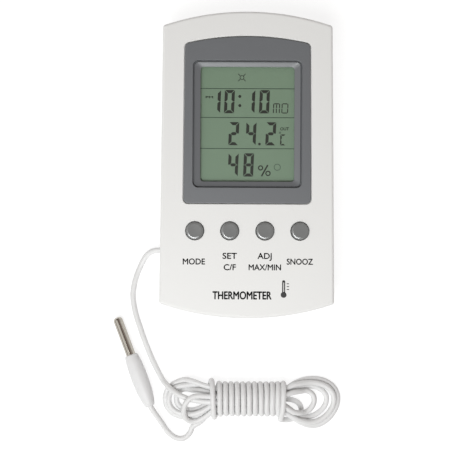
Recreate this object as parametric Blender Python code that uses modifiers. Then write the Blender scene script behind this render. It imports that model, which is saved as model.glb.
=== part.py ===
"""Maximum minimum thermometer for a greenhouse, with an outdoor probe on a cord.

Blender 4.5, metres, +Z up. The case lies on its back: its flat back is on Z = 0, its display
faces +Z and its arched top end points to +Y. The origin is the middle of the case's back.
"""

from math import cos, hypot, pi, radians, sin

import bmesh
import bpy
import numpy as np
from mathutils import Vector

OBJECT = "maximum_minimum_thermometer"
CUTTERS = "cutters"

# Driving dimensions
GAP = 0.0003  # between pieces that touch
PAST = 0.001  # how far a cutter runs past the face that it opens
ROOT = 0.0005  # height inside the back wall where what stands on it begins

CASE_LENGTH = 0.130
CASE_DEPTH = 0.023
CASE_TOP_HALF = 0.03595  # half the width at the upper corners
CASE_LOW_HALF = 0.0371  # half the width at the lower corners
CASE_TOP_SAGITTA = 0.0060  # rise of the top arc over its corners
CASE_LOW_SAGITTA = 0.0062
CASE_CORNER = 0.0014
CASE_RIM = 0.0012  # rounding of the front and back rims
WALL = 0.0018
SPLIT = 0.011  # height of the parting line
TONGUE_THICK = 0.0009
TONGUE_RISE = 0.0015
LEDGE = 0.0086  # where the rear wall thickens under its tongue

BEZEL_TOP = CASE_DEPTH + 0.0003
BEZEL_SEAT = CASE_DEPTH - 0.0011  # floor of the pocket in the front cover
BEZEL_LOW_Y = -0.0163
BEZEL_CORNER_Y = 0.0512
BEZEL_SAGITTA = 0.0031
BEZEL_LOW_HALF = 0.0270
BEZEL_TOP_HALF = 0.0265
BEZEL_CORNER = 0.0020

DISPLAY_Y = 0.0173  # middle of the display
VIEW_HALF = (0.0199, 0.0243)  # half the visible display, across and along
STEP_HALF = (0.0231, 0.0269)  # the sharp step in the bezel
SLOPE_HALF = (0.0226, 0.0264)  # the upper edge of the slope below the step
COLLAR_HALF = (0.0243, 0.0281)
GLASS_HALF = (0.0225, 0.0270)
FRAME_HALF = (0.0252, 0.0297)
VIEW_CORNER = 0.0013

BOARD_LOW = 0.0144
BOARD_TOP = 0.0160
BOARD_HALF = 0.0302
BOARD_Y = (-0.0470, 0.0475)
LCD_Z = (0.0181, 0.0199)
WINDOW_Z = (0.0202, 0.0210)

BUTTON_NAMES = ("mode", "set", "adjust", "snooze")
BUTTON_X = (-0.0221, -0.0073, 0.0076, 0.0224)
BUTTON_Y = -0.0279
BUTTON_RADIUS = 0.0037
BUTTON_TOP = CASE_DEPTH + 0.0012
FLANGE_RADIUS = 0.0047
FLANGE_Z = (0.0200, 0.0209)
SWITCH_SIDE = 0.0060
SWITCH_TOP = 0.0190
SWITCH_FLOOR = 0.0172
PLUNGER_RADIUS = 0.0015
PLUNGER_Z = (0.0179, 0.0197)

CASE_SCREW_AT = ((-0.0295, 0.0515), (0.0295, 0.0515), (-0.0300, -0.0515), (0.0300, -0.0515))
BOARD_SCREW_AT = ((-0.0278, 0.0435), (0.0278, 0.0435), (-0.0278, -0.0430), (0.0278, -0.0430))
CASE_SCREW_HEAD_Z = 0.0016
CASE_SCREW_FLOOR = 0.0032  # floor of the counterbore
CASE_SCREW_TIP = 0.0145
CASE_SCREW_SHANK = 0.0010
CASE_SCREW_HEAD = 0.0025
CASE_PILOT = 0.0013
CASE_PILOT_TOP = 0.0160
COUNTERBORE = 0.0029
FRONT_BOSS = 0.0030
REAR_BOSS = 0.0044
REAR_BOSS_TOP = 0.0057
BOARD_SCREW_TIP = 0.0198
BOARD_SCREW_SHANK = 0.0007
BOARD_SCREW_HEAD = 0.0017
BOARD_PILOT = 0.0010
BOARD_PILOT_TOP = 0.0205
BOARD_POST = 0.0022

BAY_HALF_X = 0.0252
BAY_Y = (0.0155, 0.0295)
BAY_TOP = 0.0131
BAY_WALL = 0.0012
BAY_END_WALL = 0.0015
BAY_ROOF = 0.0010
DOOR_Z = (0.0002, 0.0016)
DOOR_HINGE_Z = 0.0003
TAB_X = 0.0150
TAB_HALF = 0.0030
TAB_SLOT_TOP = 0.0040
TAB_Z = (0.0018, 0.0026)  # over the hinge line
TAB_Y = (-0.0025, 0.0017)
LATCH_HALF = 0.0040
LATCH_RISE = 0.0031
CELL_RADIUS = 0.00525
CELL_LENGTH = 0.0445
CELL_NUB = 0.0008
CELL_Y = 0.0225
CELL_Z = 0.00755
CELL_START = -0.02035
CELL_NUB_RADIUS = 0.0019
CELL_EDGE = 0.0004
CONTACT_X = 0.02465
CONTACT_THICK = 0.0004
CONTACT_Y = (0.0180, 0.0270)
CONTACT_Z = (0.0030, 0.0125)
TAIL_Y = (0.0240, 0.0260)  # the contact's tail, which its wire is soldered to
TAIL_Z = (0.0106, 0.0110)
TAIL_END = 0.0282
SPRING_TURNS = 3
SPRING_RADIUS = (0.0034, 0.0022)
SPRING_WIRE = 0.0003
WIRE_RADIUS = 0.0006

LEG_HINGE_Y = -0.008
LEG_HINGE_Z = 0.0016
LEG_LENGTH = 0.050
LEG_HALF = 0.0130
LEG_THICK = 0.0020
LEG_BARREL = 0.0011
LEG_PEG = 0.0008
LEG_CORNER = 0.0035
PEG_REACH = 0.0014
TRAY_HALF = 0.0148
TRAY_TOP = 0.0048
TRAY_WALL = 0.0015
POCKET_TOP = 0.0033
POCKET_LOW_ROOM = 0.0008  # past the folded leg's free end
POCKET_HIGH_ROOM = 0.0018  # past its hinge line
FINGER_RADIUS = 0.0050

KEYHOLE_Y = 0.0450
KEYHOLE_HEAD = 0.0038
KEYHOLE_SLOT = 0.0021
KEYHOLE_REACH = 0.0065
BUZZER_AT = (-0.0248, -0.0240)
BUZZER_RADIUS = 0.0085
VENT_X = (0.0185, 0.0305)
VENT_Y = (-0.0300, -0.0270, -0.0240, -0.0210, -0.0180)
VENT_HALF = 0.0007
SOUND_RING = 0.0042
SOUND_HOLE = 0.0008

# The cord and what is on it. Every route lies on or above the surface that the case rests on.
CORD_RADIUS = 0.0012
GROMMET_Y = -0.0366
GROMMET_Z = 0.0055
GROMMET_RADIUS = 0.0020
INNER_ROUTE = (
    (-0.0333, -0.0366, 0.0055),
    (-0.0305, -0.0366, 0.0060),
    (-0.0268, -0.0368, 0.0085),
    (-0.0232, -0.0370, 0.0115),
    (-0.0216, -0.0370, 0.0133),
)
LEAD_ROUTE = (
    (-0.0381, -0.0366, 0.0055),
    (-0.0396, -0.0367, 0.0052),
    (-0.0418, -0.0374, 0.0037),
    (-0.0441, -0.0394, 0.0021),
    (-0.0463, -0.0433, 0.0013),
    (-0.0486, -0.0492, 0.0012),
    (-0.0498, -0.0566, 0.0012),
    (-0.0487, -0.0640, 0.0012),
    (-0.0466, -0.0708, 0.0012),
    (-0.0441, -0.0778, 0.0012),
    (-0.0412, -0.0848, 0.0012),
    (-0.0385, -0.0903, 0.0014),
    (-0.0363, -0.0941, 0.0020),
)
PROBE_ROUTE = (
    (-0.0232, -0.1140, 0.0014),
    (-0.0243, -0.1170, 0.0013),
    (-0.0272, -0.1196, 0.0013),
    (-0.0310, -0.1192, 0.0013),
    (-0.0344, -0.1163, 0.0017),
    (-0.0370, -0.1122, 0.0033),
    (-0.0394, -0.1085, 0.0049),
    (-0.0415, -0.1051, 0.0058),
)
HANK_Y = -0.1014
HANK_X = (-0.0364, 0.0413)
HANK_END_HALF = (0.0105, 0.0120)
HANK_END_ROUND = 0.84  # of half an end, for the arcs of its round outline
HANK_WAIST_HALF = 0.0083
HANK_WAIST_X = (-0.0165, 0.0187)
HANK_LOOP_TOP = 0.0076
HANK_WRAP_TOP = 0.0120

PROBE_FROM = (-0.0418, -0.1045, 0.00594)  # the boot's cord end
PROBE_TO = (-0.0567, -0.0664, 0.0020)  # the metal tip
BOOT_LENGTH = 0.0236
BOOT_RADIUS = 0.00365
BOOT_NECK = 0.0020
BOOT_SOCKET = 0.0060
TIP_RADIUS = 0.0020
TIP_BORE = 0.0016


# Helpers


def start_scene():
    """Clears the scene and makes one collection for the parts and one for the cutters."""
    for obj in list(bpy.data.objects):
        bpy.data.objects.remove(obj)
    for name in (OBJECT, CUTTERS):
        bpy.context.scene.collection.children.link(bpy.data.collections.new(name))


def finish(name, colour, roughness, metallic=0.0, transmission=0.0):
    """A Principled material from a linear colour."""
    material = bpy.data.materials.new(name)
    material.use_nodes = True
    shader = material.node_tree.nodes["Principled BSDF"]
    shader.inputs["Base Color"].default_value = (*colour, 1.0)
    shader.inputs["Roughness"].default_value = roughness
    shader.inputs["Metallic"].default_value = metallic
    shader.inputs["Transmission Weight"].default_value = transmission
    return material


def add(name, data, material):
    """An object for a mesh or curve: a part if it has a material, and otherwise a cutter."""
    obj = bpy.data.objects.new(name, data)
    bpy.data.collections[OBJECT if material else CUTTERS].objects.link(obj)
    if material:
        data.materials.append(material)
    else:
        obj.hide_render = True
        obj.display_type = "WIRE"
    return obj


def add_mesh(name, bm, material):
    mesh = bpy.data.meshes.new(name)
    bm.to_mesh(mesh)
    bm.free()
    return add(name, mesh, material)


def box(name, low, high, material=None, rounding=0.0):
    """A box between two corners, its edges rounded if asked."""
    bm = bmesh.new()
    bmesh.ops.create_cube(bm, size=1.0)
    bmesh.ops.scale(bm, vec=Vector(high) - Vector(low), verts=bm.verts)
    obj = add_mesh(name, bm, material)
    obj.location = (Vector(low) + Vector(high)) / 2
    if rounding:
        bevel = obj.modifiers.new("rounding", "BEVEL")
        bevel.width = rounding
        bevel.segments = 2
    return obj


def cylinder(name, radius, span, at, material=None, along="Z", sides=20):
    """A cylinder along an axis: span is its two ends there, and at its place on the other two."""
    bm = bmesh.new()
    length = span[1] - span[0]
    bmesh.ops.create_cone(
        bm, cap_ends=True, segments=sides, radius1=radius, radius2=radius, depth=length
    )
    obj = add_mesh(name, bm, material)
    middle = (span[0] + span[1]) / 2
    if along == "X":
        obj.rotation_euler = (0.0, pi / 2, 0.0)
        obj.location = (middle, *at)
    elif along == "Y":
        obj.rotation_euler = (-pi / 2, 0.0, 0.0)
        obj.location = (at[0], middle, at[1])
    else:
        obj.location = (*at, middle)
    smooth(obj)
    return obj


def turned(name, profile, material=None, steps=24):
    """A (radius, height) profile turned about Z, listed down its outer side from top to bottom."""
    mesh = bpy.data.meshes.new(name)
    points = [(radius, 0.0, height) for radius, height in profile]
    mesh.from_pydata(points, [(i, i + 1) for i in range(len(points) - 1)], [])
    obj = add(name, mesh, material)
    screw = obj.modifiers.new("turn", "SCREW")
    screw.steps = steps
    screw.render_steps = steps
    screw.use_merge_vertices = True
    screw.merge_threshold = 0.00001
    return obj


def smooth(obj):
    obj.data.shade_smooth()
    obj.data.set_sharp_from_angle(angle=radians(35))


def as_mesh(obj):
    """A curve object made a mesh object of the same name and place, its caps welded to its sides."""
    bpy.context.view_layer.update()
    evaluated = obj.evaluated_get(bpy.context.evaluated_depsgraph_get())
    mesh = bpy.data.meshes.new_from_object(evaluated)
    bm = bmesh.new()
    bm.from_mesh(mesh)
    bmesh.ops.remove_doubles(bm, verts=bm.verts, dist=0.000001)
    bmesh.ops.recalc_face_normals(bm, faces=bm.faces)
    bm.to_mesh(mesh)
    bm.free()
    name = obj.name
    made = bpy.data.objects.new(name, mesh)
    made.matrix_world = obj.matrix_world.copy()
    made.hide_render = obj.hide_render
    made.display_type = obj.display_type
    obj.users_collection[0].objects.link(made)
    bpy.data.objects.remove(obj)
    made.name = name
    return made


def plate(name, outline, low, high, material=None, rim=None, rim_width=0.0):
    """A flat outline between two heights, with the rim at the height `rim` rounded if asked."""
    curve = bpy.data.curves.new(name, "CURVE")
    curve.dimensions = "2D"
    curve.fill_mode = "BOTH"
    curve.extrude = (high - low) / 2
    spline = curve.splines.new("POLY")
    spline.points.add(len(outline) - 1)
    for point, (x, y) in zip(spline.points, outline):
        point.co = (x, y, 0.0, 1.0)
    spline.use_cyclic_u = True
    obj = add(name, curve, material)
    obj.location.z = (low + high) / 2
    obj = as_mesh(obj)
    if rim is not None:
        round_rim(obj, rim - obj.location.z, rim_width)
    return obj


def round_rim(obj, height, width):
    """Rounds the rim of a plate at a height in its own frame."""
    bm = bmesh.new()
    bm.from_mesh(obj.data)
    bmesh.ops.dissolve_limit(
        bm, angle_limit=radians(0.5), verts=bm.verts, edges=bm.edges, use_dissolve_boundaries=True
    )
    edges = [e for e in bm.edges if all(abs(v.co.z - height) < 0.00001 for v in e.verts)]
    bmesh.ops.bevel(
        bm, geom=edges, offset=width, segments=3, profile=0.5, affect="EDGES", clamp_overlap=False
    )
    bm.to_mesh(obj.data)
    bm.free()


def tube(name, points, radius, material, resolution=2):
    """A round tube with filled ends along points."""
    curve = bpy.data.curves.new(name, "CURVE")
    curve.dimensions = "3D"
    curve.bevel_depth = radius
    curve.bevel_resolution = resolution
    curve.use_fill_caps = True
    spline = curve.splines.new("POLY")
    spline.points.add(len(points) - 1)
    for point, place in zip(spline.points, points):
        point.co = (*place, 1.0)
    return add(name, curve, material)


def smooth_route(points, spacing):
    """Points about `spacing` apart on a smooth curve (Catmull-Rom) through a route's own points."""
    own = np.array(points)
    padded = np.concatenate([[2 * own[0] - own[1]], own, [2 * own[-1] - own[-2]]])
    t = np.linspace(0.0, 1.0, 24, endpoint=False)[:, None]
    runs = []
    for a, b, c, d in zip(padded[:-3], padded[1:-2], padded[2:-1], padded[3:]):
        bend = (2 * a - 5 * b + 4 * c - d) * t**2 + (3 * b - a - 3 * c + d) * t**3
        runs.append(0.5 * (2 * b + (c - a) * t + bend))
    line = np.concatenate([*runs, own[-1:]])
    along = np.concatenate([[0.0], np.cumsum(np.linalg.norm(np.diff(line, axis=0), axis=1))])
    stops = np.linspace(0.0, along[-1], max(3, round(along[-1] / spacing) + 1))
    return np.stack([np.interp(stops, along, line[:, k]) for k in range(3)], axis=1)


def cut(target, cutter):
    modifier = target.modifiers.new("cut " + cutter.name, "BOOLEAN")
    modifier.operation = "DIFFERENCE"
    modifier.object = cutter


def join(target, piece):
    modifier = target.modifiers.new("join " + piece.name, "BOOLEAN")
    modifier.operation = "UNION"
    modifier.object = piece


def inset(corners, depth):
    """A convex outline of (x, y, rounding) corners, moved in by depth."""
    moved = []
    for i, (x, y, rounding) in enumerate(corners):
        before = Vector((x, y)) - Vector(corners[i - 1][:2])
        after = Vector(corners[(i + 1) % len(corners)][:2]) - Vector((x, y))
        normals = [Vector((-side.y, side.x)).normalized() for side in (before, after)]
        middle = (normals[0] + normals[1]).normalized()
        step = middle * depth / middle.dot(normals[0])
        moved.append((x + step.x, y + step.y, max(rounding - depth, 0.0004) if rounding else 0.0))
    return moved


def rounded(corners, steps=3):
    """The (x, y) points of an outline of (x, y, rounding) corners, each rounded by an arc."""
    outline = []
    for i, (x, y, rounding) in enumerate(corners):
        if not rounding:
            outline.append((x, y))
            continue
        corner = Vector((x, y))
        back = (Vector(corners[i - 1][:2]) - corner).normalized()
        on = (Vector(corners[(i + 1) % len(corners)][:2]) - corner).normalized()
        half = back.angle(on) / 2
        centre = corner + (back + on).normalized() * rounding / sin(half)
        reach = rounding * cos(half) / sin(half)
        first = corner + back * reach - centre
        last = corner + on * reach - centre
        turn = first.angle_signed(last)
        for k in range(steps + 1):
            angle = -turn * k / steps
            turned_by = (
                first.x * cos(angle) - first.y * sin(angle),
                first.x * sin(angle) + first.y * cos(angle),
            )
            outline.append((centre.x + turned_by[0], centre.y + turned_by[1]))
    return outline


def arc(start, end, sagitta, count):
    """The points between two ends, without the ends, of an arc that rises by sagitta to its right."""
    chord = Vector(end) - Vector(start)
    radius = (chord.length**2 / 4 + sagitta**2) / (2 * sagitta)
    right = Vector((chord.y, -chord.x)).normalized()
    centre = (Vector(start) + Vector(end)) / 2 - right * (radius - sagitta)
    half = np.arcsin(chord.length / 2 / radius)
    along = chord.normalized()
    angles = np.linspace(-half, half, count + 2)[1:-1]
    return [tuple(centre + along * radius * sin(a) + right * radius * cos(a)) for a in angles]


def rectangle(half, rounding, middle=(0.0, 0.0), steps=3):
    """A rounded rectangle's outline, anticlockwise from its lower left corner."""
    signs = ((-1, -1), (1, -1), (1, 1), (-1, 1))
    corners = [(middle[0] + a * half[0], middle[1] + b * half[1], rounding) for a, b in signs]
    return rounded(corners, steps)


def case_corners():
    """The case's outline: arched ends, straight sides that spread a little towards the low end."""
    top = CASE_LENGTH / 2 - CASE_TOP_SAGITTA
    low = CASE_LOW_SAGITTA - CASE_LENGTH / 2
    corners = [(-CASE_LOW_HALF, low, CASE_CORNER)]
    ends = ((-CASE_LOW_HALF, low), (CASE_LOW_HALF, low))
    corners += [(x, y, 0.0) for x, y in arc(*ends, CASE_LOW_SAGITTA, 9)]
    corners += [(CASE_LOW_HALF, low, CASE_CORNER), (CASE_TOP_HALF, top, CASE_CORNER)]
    ends = ((CASE_TOP_HALF, top), (-CASE_TOP_HALF, top))
    corners += [(x, y, 0.0) for x, y in arc(*ends, CASE_TOP_SAGITTA, 9)]
    return corners + [(-CASE_TOP_HALF, top, CASE_CORNER)]


def case_outline(depth=0.0):
    corners = case_corners()
    return rounded(inset(corners, depth) if depth else corners)


def case_half_width(y):
    """Half the case's width at a height up its front."""
    top = CASE_LENGTH / 2 - CASE_TOP_SAGITTA
    low = CASE_LOW_SAGITTA - CASE_LENGTH / 2
    return CASE_LOW_HALF + (CASE_TOP_HALF - CASE_LOW_HALF) * (y - low) / (top - low)


def bezel_outline(depth=0.0):
    corners = [
        (-BEZEL_LOW_HALF, BEZEL_LOW_Y, BEZEL_CORNER),
        (BEZEL_LOW_HALF, BEZEL_LOW_Y, BEZEL_CORNER),
        (BEZEL_TOP_HALF, BEZEL_CORNER_Y, BEZEL_CORNER),
    ]
    ends = ((BEZEL_TOP_HALF, BEZEL_CORNER_Y), (-BEZEL_TOP_HALF, BEZEL_CORNER_Y))
    corners += [(x, y, 0.0) for x, y in arc(*ends, BEZEL_SAGITTA, 7)]
    corners.append((-BEZEL_TOP_HALF, BEZEL_CORNER_Y, BEZEL_CORNER))
    return rounded(inset(corners, depth) if depth else corners)


def display(half, rounding):
    """A rounded rectangle about the middle of the display."""
    return rectangle(half, rounding, (0.0, DISPLAY_Y))


def grown(half, by):
    return tuple(side + by for side in half)


# Covers


def make_front_cover(white):
    cover = plate("front_cover", case_outline(), SPLIT + GAP, CASE_DEPTH, white, CASE_DEPTH, CASE_RIM)
    inside = CASE_DEPTH - WALL
    cut(cover, plate("front_cavity", case_outline(WALL), SPLIT - PAST, inside))
    cut(cover, plate("bezel_pocket", bezel_outline(-GAP), BEZEL_SEAT, CASE_DEPTH + PAST))
    opening = display(grown(COLLAR_HALF, GAP), 0.003)
    cut(cover, plate("display_opening", opening, inside - PAST, BEZEL_SEAT + PAST / 2))
    for name, x in zip(BUTTON_NAMES, BUTTON_X):
        span = (inside - PAST, CASE_DEPTH + PAST)
        hole = cylinder("hole_" + name, BUTTON_RADIUS + GAP, span, (x, BUTTON_Y), sides=24)
        cut(cover, hole)
    for i, at in enumerate(CASE_SCREW_AT, 1):
        span = (REAR_BOSS_TOP + GAP, inside + GAP)
        join(cover, cylinder(f"case_boss_{i}", FRONT_BOSS, span, at, sides=16))
        span = (REAR_BOSS_TOP - PAST, CASE_PILOT_TOP)
        cut(cover, cylinder(f"case_pilot_{i}", CASE_PILOT, span, at, sides=12))
    for i, at in enumerate(BOARD_SCREW_AT, 1):
        span = (BOARD_TOP + GAP, inside + GAP)
        join(cover, cylinder(f"post_{i}", BOARD_POST, span, at, sides=12))
        span = (BOARD_TOP - PAST, BOARD_PILOT_TOP)
        cut(cover, cylinder(f"post_pilot_{i}", BOARD_PILOT, span, at, sides=12))


def make_rear_cover(white):
    cover = plate("rear_cover", case_outline(), 0.0, SPLIT, white, 0.0, CASE_RIM)
    tongue = case_outline(WALL + GAP)
    join(cover, plate("tongue", tongue, SPLIT - PAST, SPLIT + TONGUE_RISE))
    cut(cover, plate("rear_cavity", case_outline(WALL), WALL, LEDGE))
    mouth = case_outline(WALL + GAP + TONGUE_THICK)
    cut(cover, plate("rear_mouth", mouth, LEDGE - GAP, SPLIT + TONGUE_RISE + PAST))
    add_battery_bay(cover)
    add_leg_tray(cover)
    add_screw_bosses(cover)
    add_back_holes(cover)


def add_battery_bay(cover):
    """The bay is open at the back, with slots for the door's tabs and for the contacts' tails."""
    low = (-BAY_HALF_X, BAY_Y[0], -PAST)
    high = (BAY_HALF_X, BAY_Y[1], BAY_TOP)
    block_low = (low[0] - BAY_END_WALL, low[1] - BAY_WALL, ROOT)
    block_high = (high[0] + BAY_END_WALL, high[1] + BAY_WALL, BAY_TOP + BAY_ROOF)
    join(cover, box("bay_block", block_low, block_high))
    cut(cover, box("bay_space", low, high))
    for i, x in enumerate((-TAB_X, TAB_X), 1):
        reach = TAB_HALF + GAP
        slot_low = (x - reach, BAY_Y[1] - PAST, WALL)
        slot_high = (x + reach, BAY_Y[1] + BAY_WALL + PAST, TAB_SLOT_TOP)
        cut(cover, box(f"tab_slot_{i}", slot_low, slot_high))
    for i, side in enumerate((-1, 1), 1):
        ends = sorted((side * (BAY_HALF_X - PAST), side * (BAY_HALF_X + BAY_END_WALL + PAST)))
        slot_low = (ends[0], TAIL_Y[0] - GAP, TAIL_Z[0] - GAP)
        slot_high = (ends[1], TAIL_Y[1] + GAP, TAIL_Z[1] + GAP)
        cut(cover, box(f"tail_slot_{i}", slot_low, slot_high))


def add_leg_tray(cover):
    """A shallow tray in the lower back holds the folded leg, and its side walls hold the pegs."""
    low_y = LEG_HINGE_Y - LEG_LENGTH - POCKET_LOW_ROOM
    high_y = LEG_HINGE_Y + POCKET_HIGH_ROOM
    low = (-TRAY_HALF, low_y - TRAY_WALL, ROOT)
    join(cover, box("tray_block", low, (TRAY_HALF, high_y + TRAY_WALL, TRAY_TOP)))
    half = LEG_HALF + GAP
    pocket = [(-half, low_y, LEG_CORNER + GAP), (half, low_y, LEG_CORNER + GAP)]
    pocket += [(half, high_y, 0.0004), (-half, high_y, 0.0004)]
    cut(cover, plate("leg_pocket", rounded(pocket), -PAST, POCKET_TOP))
    at = (0.0, low_y + 0.4 * FINGER_RADIUS)
    cut(cover, cylinder("finger_notch", FINGER_RADIUS, (-PAST, POCKET_TOP - GAP), at))
    for i, side in enumerate((-1, 1), 1):
        ends = sorted((side * (LEG_HALF - PAST), side * (TRAY_HALF + 0.0005)))
        peg_hole = cylinder(
            f"peg_hole_{i}", LEG_PEG + GAP, ends, (LEG_HINGE_Y, LEG_HINGE_Z), along="X", sides=12
        )
        cut(cover, peg_hole)


def add_screw_bosses(cover):
    for i, at in enumerate(CASE_SCREW_AT, 1):
        join(cover, cylinder(f"rear_boss_{i}", REAR_BOSS, (ROOT, REAR_BOSS_TOP), at, sides=16))
        span = (-PAST, CASE_SCREW_FLOOR)
        cut(cover, cylinder(f"counterbore_{i}", COUNTERBORE, span, at, sides=16))
        span = (CASE_SCREW_FLOOR - GAP, REAR_BOSS_TOP + PAST)
        cut(cover, cylinder(f"screw_way_{i}", CASE_PILOT, span, at, sides=12))


def add_back_holes(cover):
    """The keyhole to hang the case by, air slots, sound holes and the cord's way out."""
    through = (-PAST, WALL + PAST)
    at = (0.0, KEYHOLE_Y)
    cut(cover, cylinder("keyhole_head", KEYHOLE_HEAD, through, at))
    slot = [
        (-KEYHOLE_SLOT, KEYHOLE_Y, 0.0),
        (KEYHOLE_SLOT, KEYHOLE_Y, 0.0),
        (KEYHOLE_SLOT, KEYHOLE_Y + KEYHOLE_REACH, 0.0019),
        (-KEYHOLE_SLOT, KEYHOLE_Y + KEYHOLE_REACH, 0.0019),
    ]
    cut(cover, plate("keyhole_slot", rounded(slot), through[0] - GAP, through[1] + GAP))
    for i, y in enumerate(VENT_Y, 1):
        low = (VENT_X[0], y - VENT_HALF, through[0])
        cut(cover, box(f"vent_{i}", low, (VENT_X[1], y + VENT_HALF, through[1])))
    places = [(0.0, 0.0)]
    places += [(SOUND_RING * cos(k * pi / 3), SOUND_RING * sin(k * pi / 3)) for k in range(6)]
    for i, (x, y) in enumerate(places, 1):
        at = (BUZZER_AT[0] + x, BUZZER_AT[1] + y)
        cut(cover, cylinder(f"sound_hole_{i}", SOUND_HOLE, through, at, sides=8))
    wall = case_half_width(GROMMET_Y)
    span = (-wall - PAST, WALL + PAST - wall)
    way = cylinder(
        "cord_way", GROMMET_RADIUS + GAP, span, (GROMMET_Y, GROMMET_Z), along="X", sides=16
    )
    cut(cover, way)


def make_case_screws(steel):
    """Each is a pointed self-tapping screw with a pan head that sits down its counterbore."""
    shank = CASE_SCREW_SHANK
    wide = CASE_SCREW_HEAD
    tip = CASE_SCREW_TIP
    seat = CASE_SCREW_FLOOR - GAP
    low = CASE_SCREW_HEAD_Z
    profile = [(0.0, tip), (0.6 * shank, tip - 0.5 * shank), (shank, tip - 1.7 * shank)]
    profile += [(shank, seat), (wide, seat), (wide, low + 0.16 * wide), (0.76 * wide, low), (0.0, low)]
    for i, (x, y) in enumerate(CASE_SCREW_AT, 1):
        screw = turned(f"case_screw_{i}", profile, steel, 12)
        screw.location = (x, y, 0.0)


def make_board_screws(steel):
    shank = BOARD_SCREW_SHANK
    wide = BOARD_SCREW_HEAD
    tip = BOARD_SCREW_TIP
    seat = BOARD_LOW - GAP
    low = seat - 0.7 * wide
    profile = [(0.0, tip), (shank, tip - 1.1 * shank), (shank, seat), (wide, seat)]
    profile += [(wide, low + 0.25 * wide), (0.65 * wide, low), (0.0, low)]
    for i, (x, y) in enumerate(BOARD_SCREW_AT, 1):
        screw = turned(f"board_screw_{i}", profile, steel, 10)
        screw.location = (x, y, 0.0)


# Display


def make_bezel(grey):
    bezel = plate("bezel", bezel_outline(), BEZEL_SEAT + GAP, BEZEL_TOP, grey, BEZEL_TOP, 0.0004)
    low = WINDOW_Z[1] + GAP
    join(bezel, plate("collar", display(COLLAR_HALF, 0.0027), low, BEZEL_SEAT + GAP + 0.0002))
    step = display(STEP_HALF, 0.0023)
    floor = BEZEL_TOP - 0.0010
    cut(bezel, plate("display_step", step, floor, BEZEL_TOP + PAST))
    cut(bezel, make_slope(low, floor))


def make_slope(low, floor):
    """The cutter of the sloping frame round the display, from its upper edge to the visible area."""
    cutter = plate("display_slope", display(SLOPE_HALF, 0.0020), low - PAST, floor + PAST / 2)
    narrow = display(VIEW_HALF, VIEW_CORNER)
    wide = display(SLOPE_HALF, 0.0020)
    height = floor - low
    for vertex in cutter.data.vertices:
        gaps = [hypot(vertex.co.x - x, vertex.co.y - y) for x, y in wide]
        nearest = gaps.index(min(gaps))
        inner = Vector(narrow[nearest])
        out = Vector(wide[nearest]) - inner
        share = -PAST / height if vertex.co.z < 0 else 1 + PAST / 2 / height
        vertex.co.x, vertex.co.y = inner + out * share
    return cutter


def make_display(clear, glass, black, rubber):
    low = (-GLASS_HALF[0], DISPLAY_Y - GLASS_HALF[1])
    high = (GLASS_HALF[0], DISPLAY_Y + GLASS_HALF[1])
    box("window", (*low, WINDOW_Z[0]), (*high, WINDOW_Z[1]), clear)
    box("lcd_panel", (*low, LCD_Z[0]), (*high, LCD_Z[1]), glass)
    top = WINDOW_Z[1] - GAP / 3
    frame = plate("lcd_frame", display(FRAME_HALF, 0.0015), BOARD_TOP + GAP, top, black)
    inner = display(grown(GLASS_HALF, GAP), 0.0005)
    cut(frame, plate("frame_space", inner, BOARD_TOP - PAST, top + PAST))
    strips = (("lower", low[1] + 0.0002), ("upper", high[1] - 0.0027))
    for name, y in strips:
        ends = ((-0.0210, y, BOARD_TOP + GAP), (0.0210, y + 0.0025, LCD_Z[0] - GAP))
        box("zebra_strip_" + name, *ends, rubber)


# Board and what is on it


def make_board(green):
    half = (BOARD_Y[1] - BOARD_Y[0]) / 2
    outline = rectangle((BOARD_HALF, half), 0.0020, (0.0, (BOARD_Y[0] + BOARD_Y[1]) / 2))
    board = plate("circuit_board", outline, BOARD_LOW, BOARD_TOP, green)
    for i, at in enumerate(BOARD_SCREW_AT, 1):
        span = (BOARD_LOW - PAST, BOARD_TOP + PAST)
        cut(board, cylinder(f"board_hole_{i}", 0.0010, span, at, sides=12))


def make_board_pieces(epoxy, tin, blue, white):
    under = BOARD_LOW - GAP
    angles = [k * pi / 12 for k in range(7)]
    dome = [(0.0060 * cos(a), -0.0018 * sin(a)) for a in angles[:-1]] + [(0.0, -0.0018)]
    blob = turned("controller_blob", [(0.0, 0.0), *dome], epoxy, 20)
    blob.location = (0.0, -0.0020, under)
    cylinder("clock_crystal", 0.0010, (-0.0060, 0.0), (0.0095, under - 0.0010), tin, "Y", 10)
    cylinder("capacitor", 0.0025, (under - 0.0055, under), (-0.0180, -0.0060), blue, sides=16)
    low = (0.0220, -0.0260, under - 0.0016)
    box("humidity_sensor", low, (0.0270, -0.0220, under), white, 0.0002)
    profile = [(0.0, 0.0), (0.0004, -0.0002), (0.0004, -0.0012), (0.0011, -0.0020)]
    profile += [(0.0011, -0.0030), (0.0006, -0.0036), (0.0, -0.0037)]
    bead = turned("indoor_thermistor", profile, epoxy, 12)
    bead.location = (0.0210, -0.0380, under)


def make_buzzer(brass, red):
    low = WALL + GAP
    cylinder("buzzer_disc", BUZZER_RADIUS, (low, low + 0.0006), BUZZER_AT, brass, sides=28)
    route = ((-0.0200, -0.0215, 0.0034), (-0.0180, -0.0205, 0.0052), (-0.0175, -0.0200, 0.0095))
    tube("buzzer_lead", smooth_route((*route, (-0.0175, -0.0195, 0.0136)), 0.0018), 0.0006, red)


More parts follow.
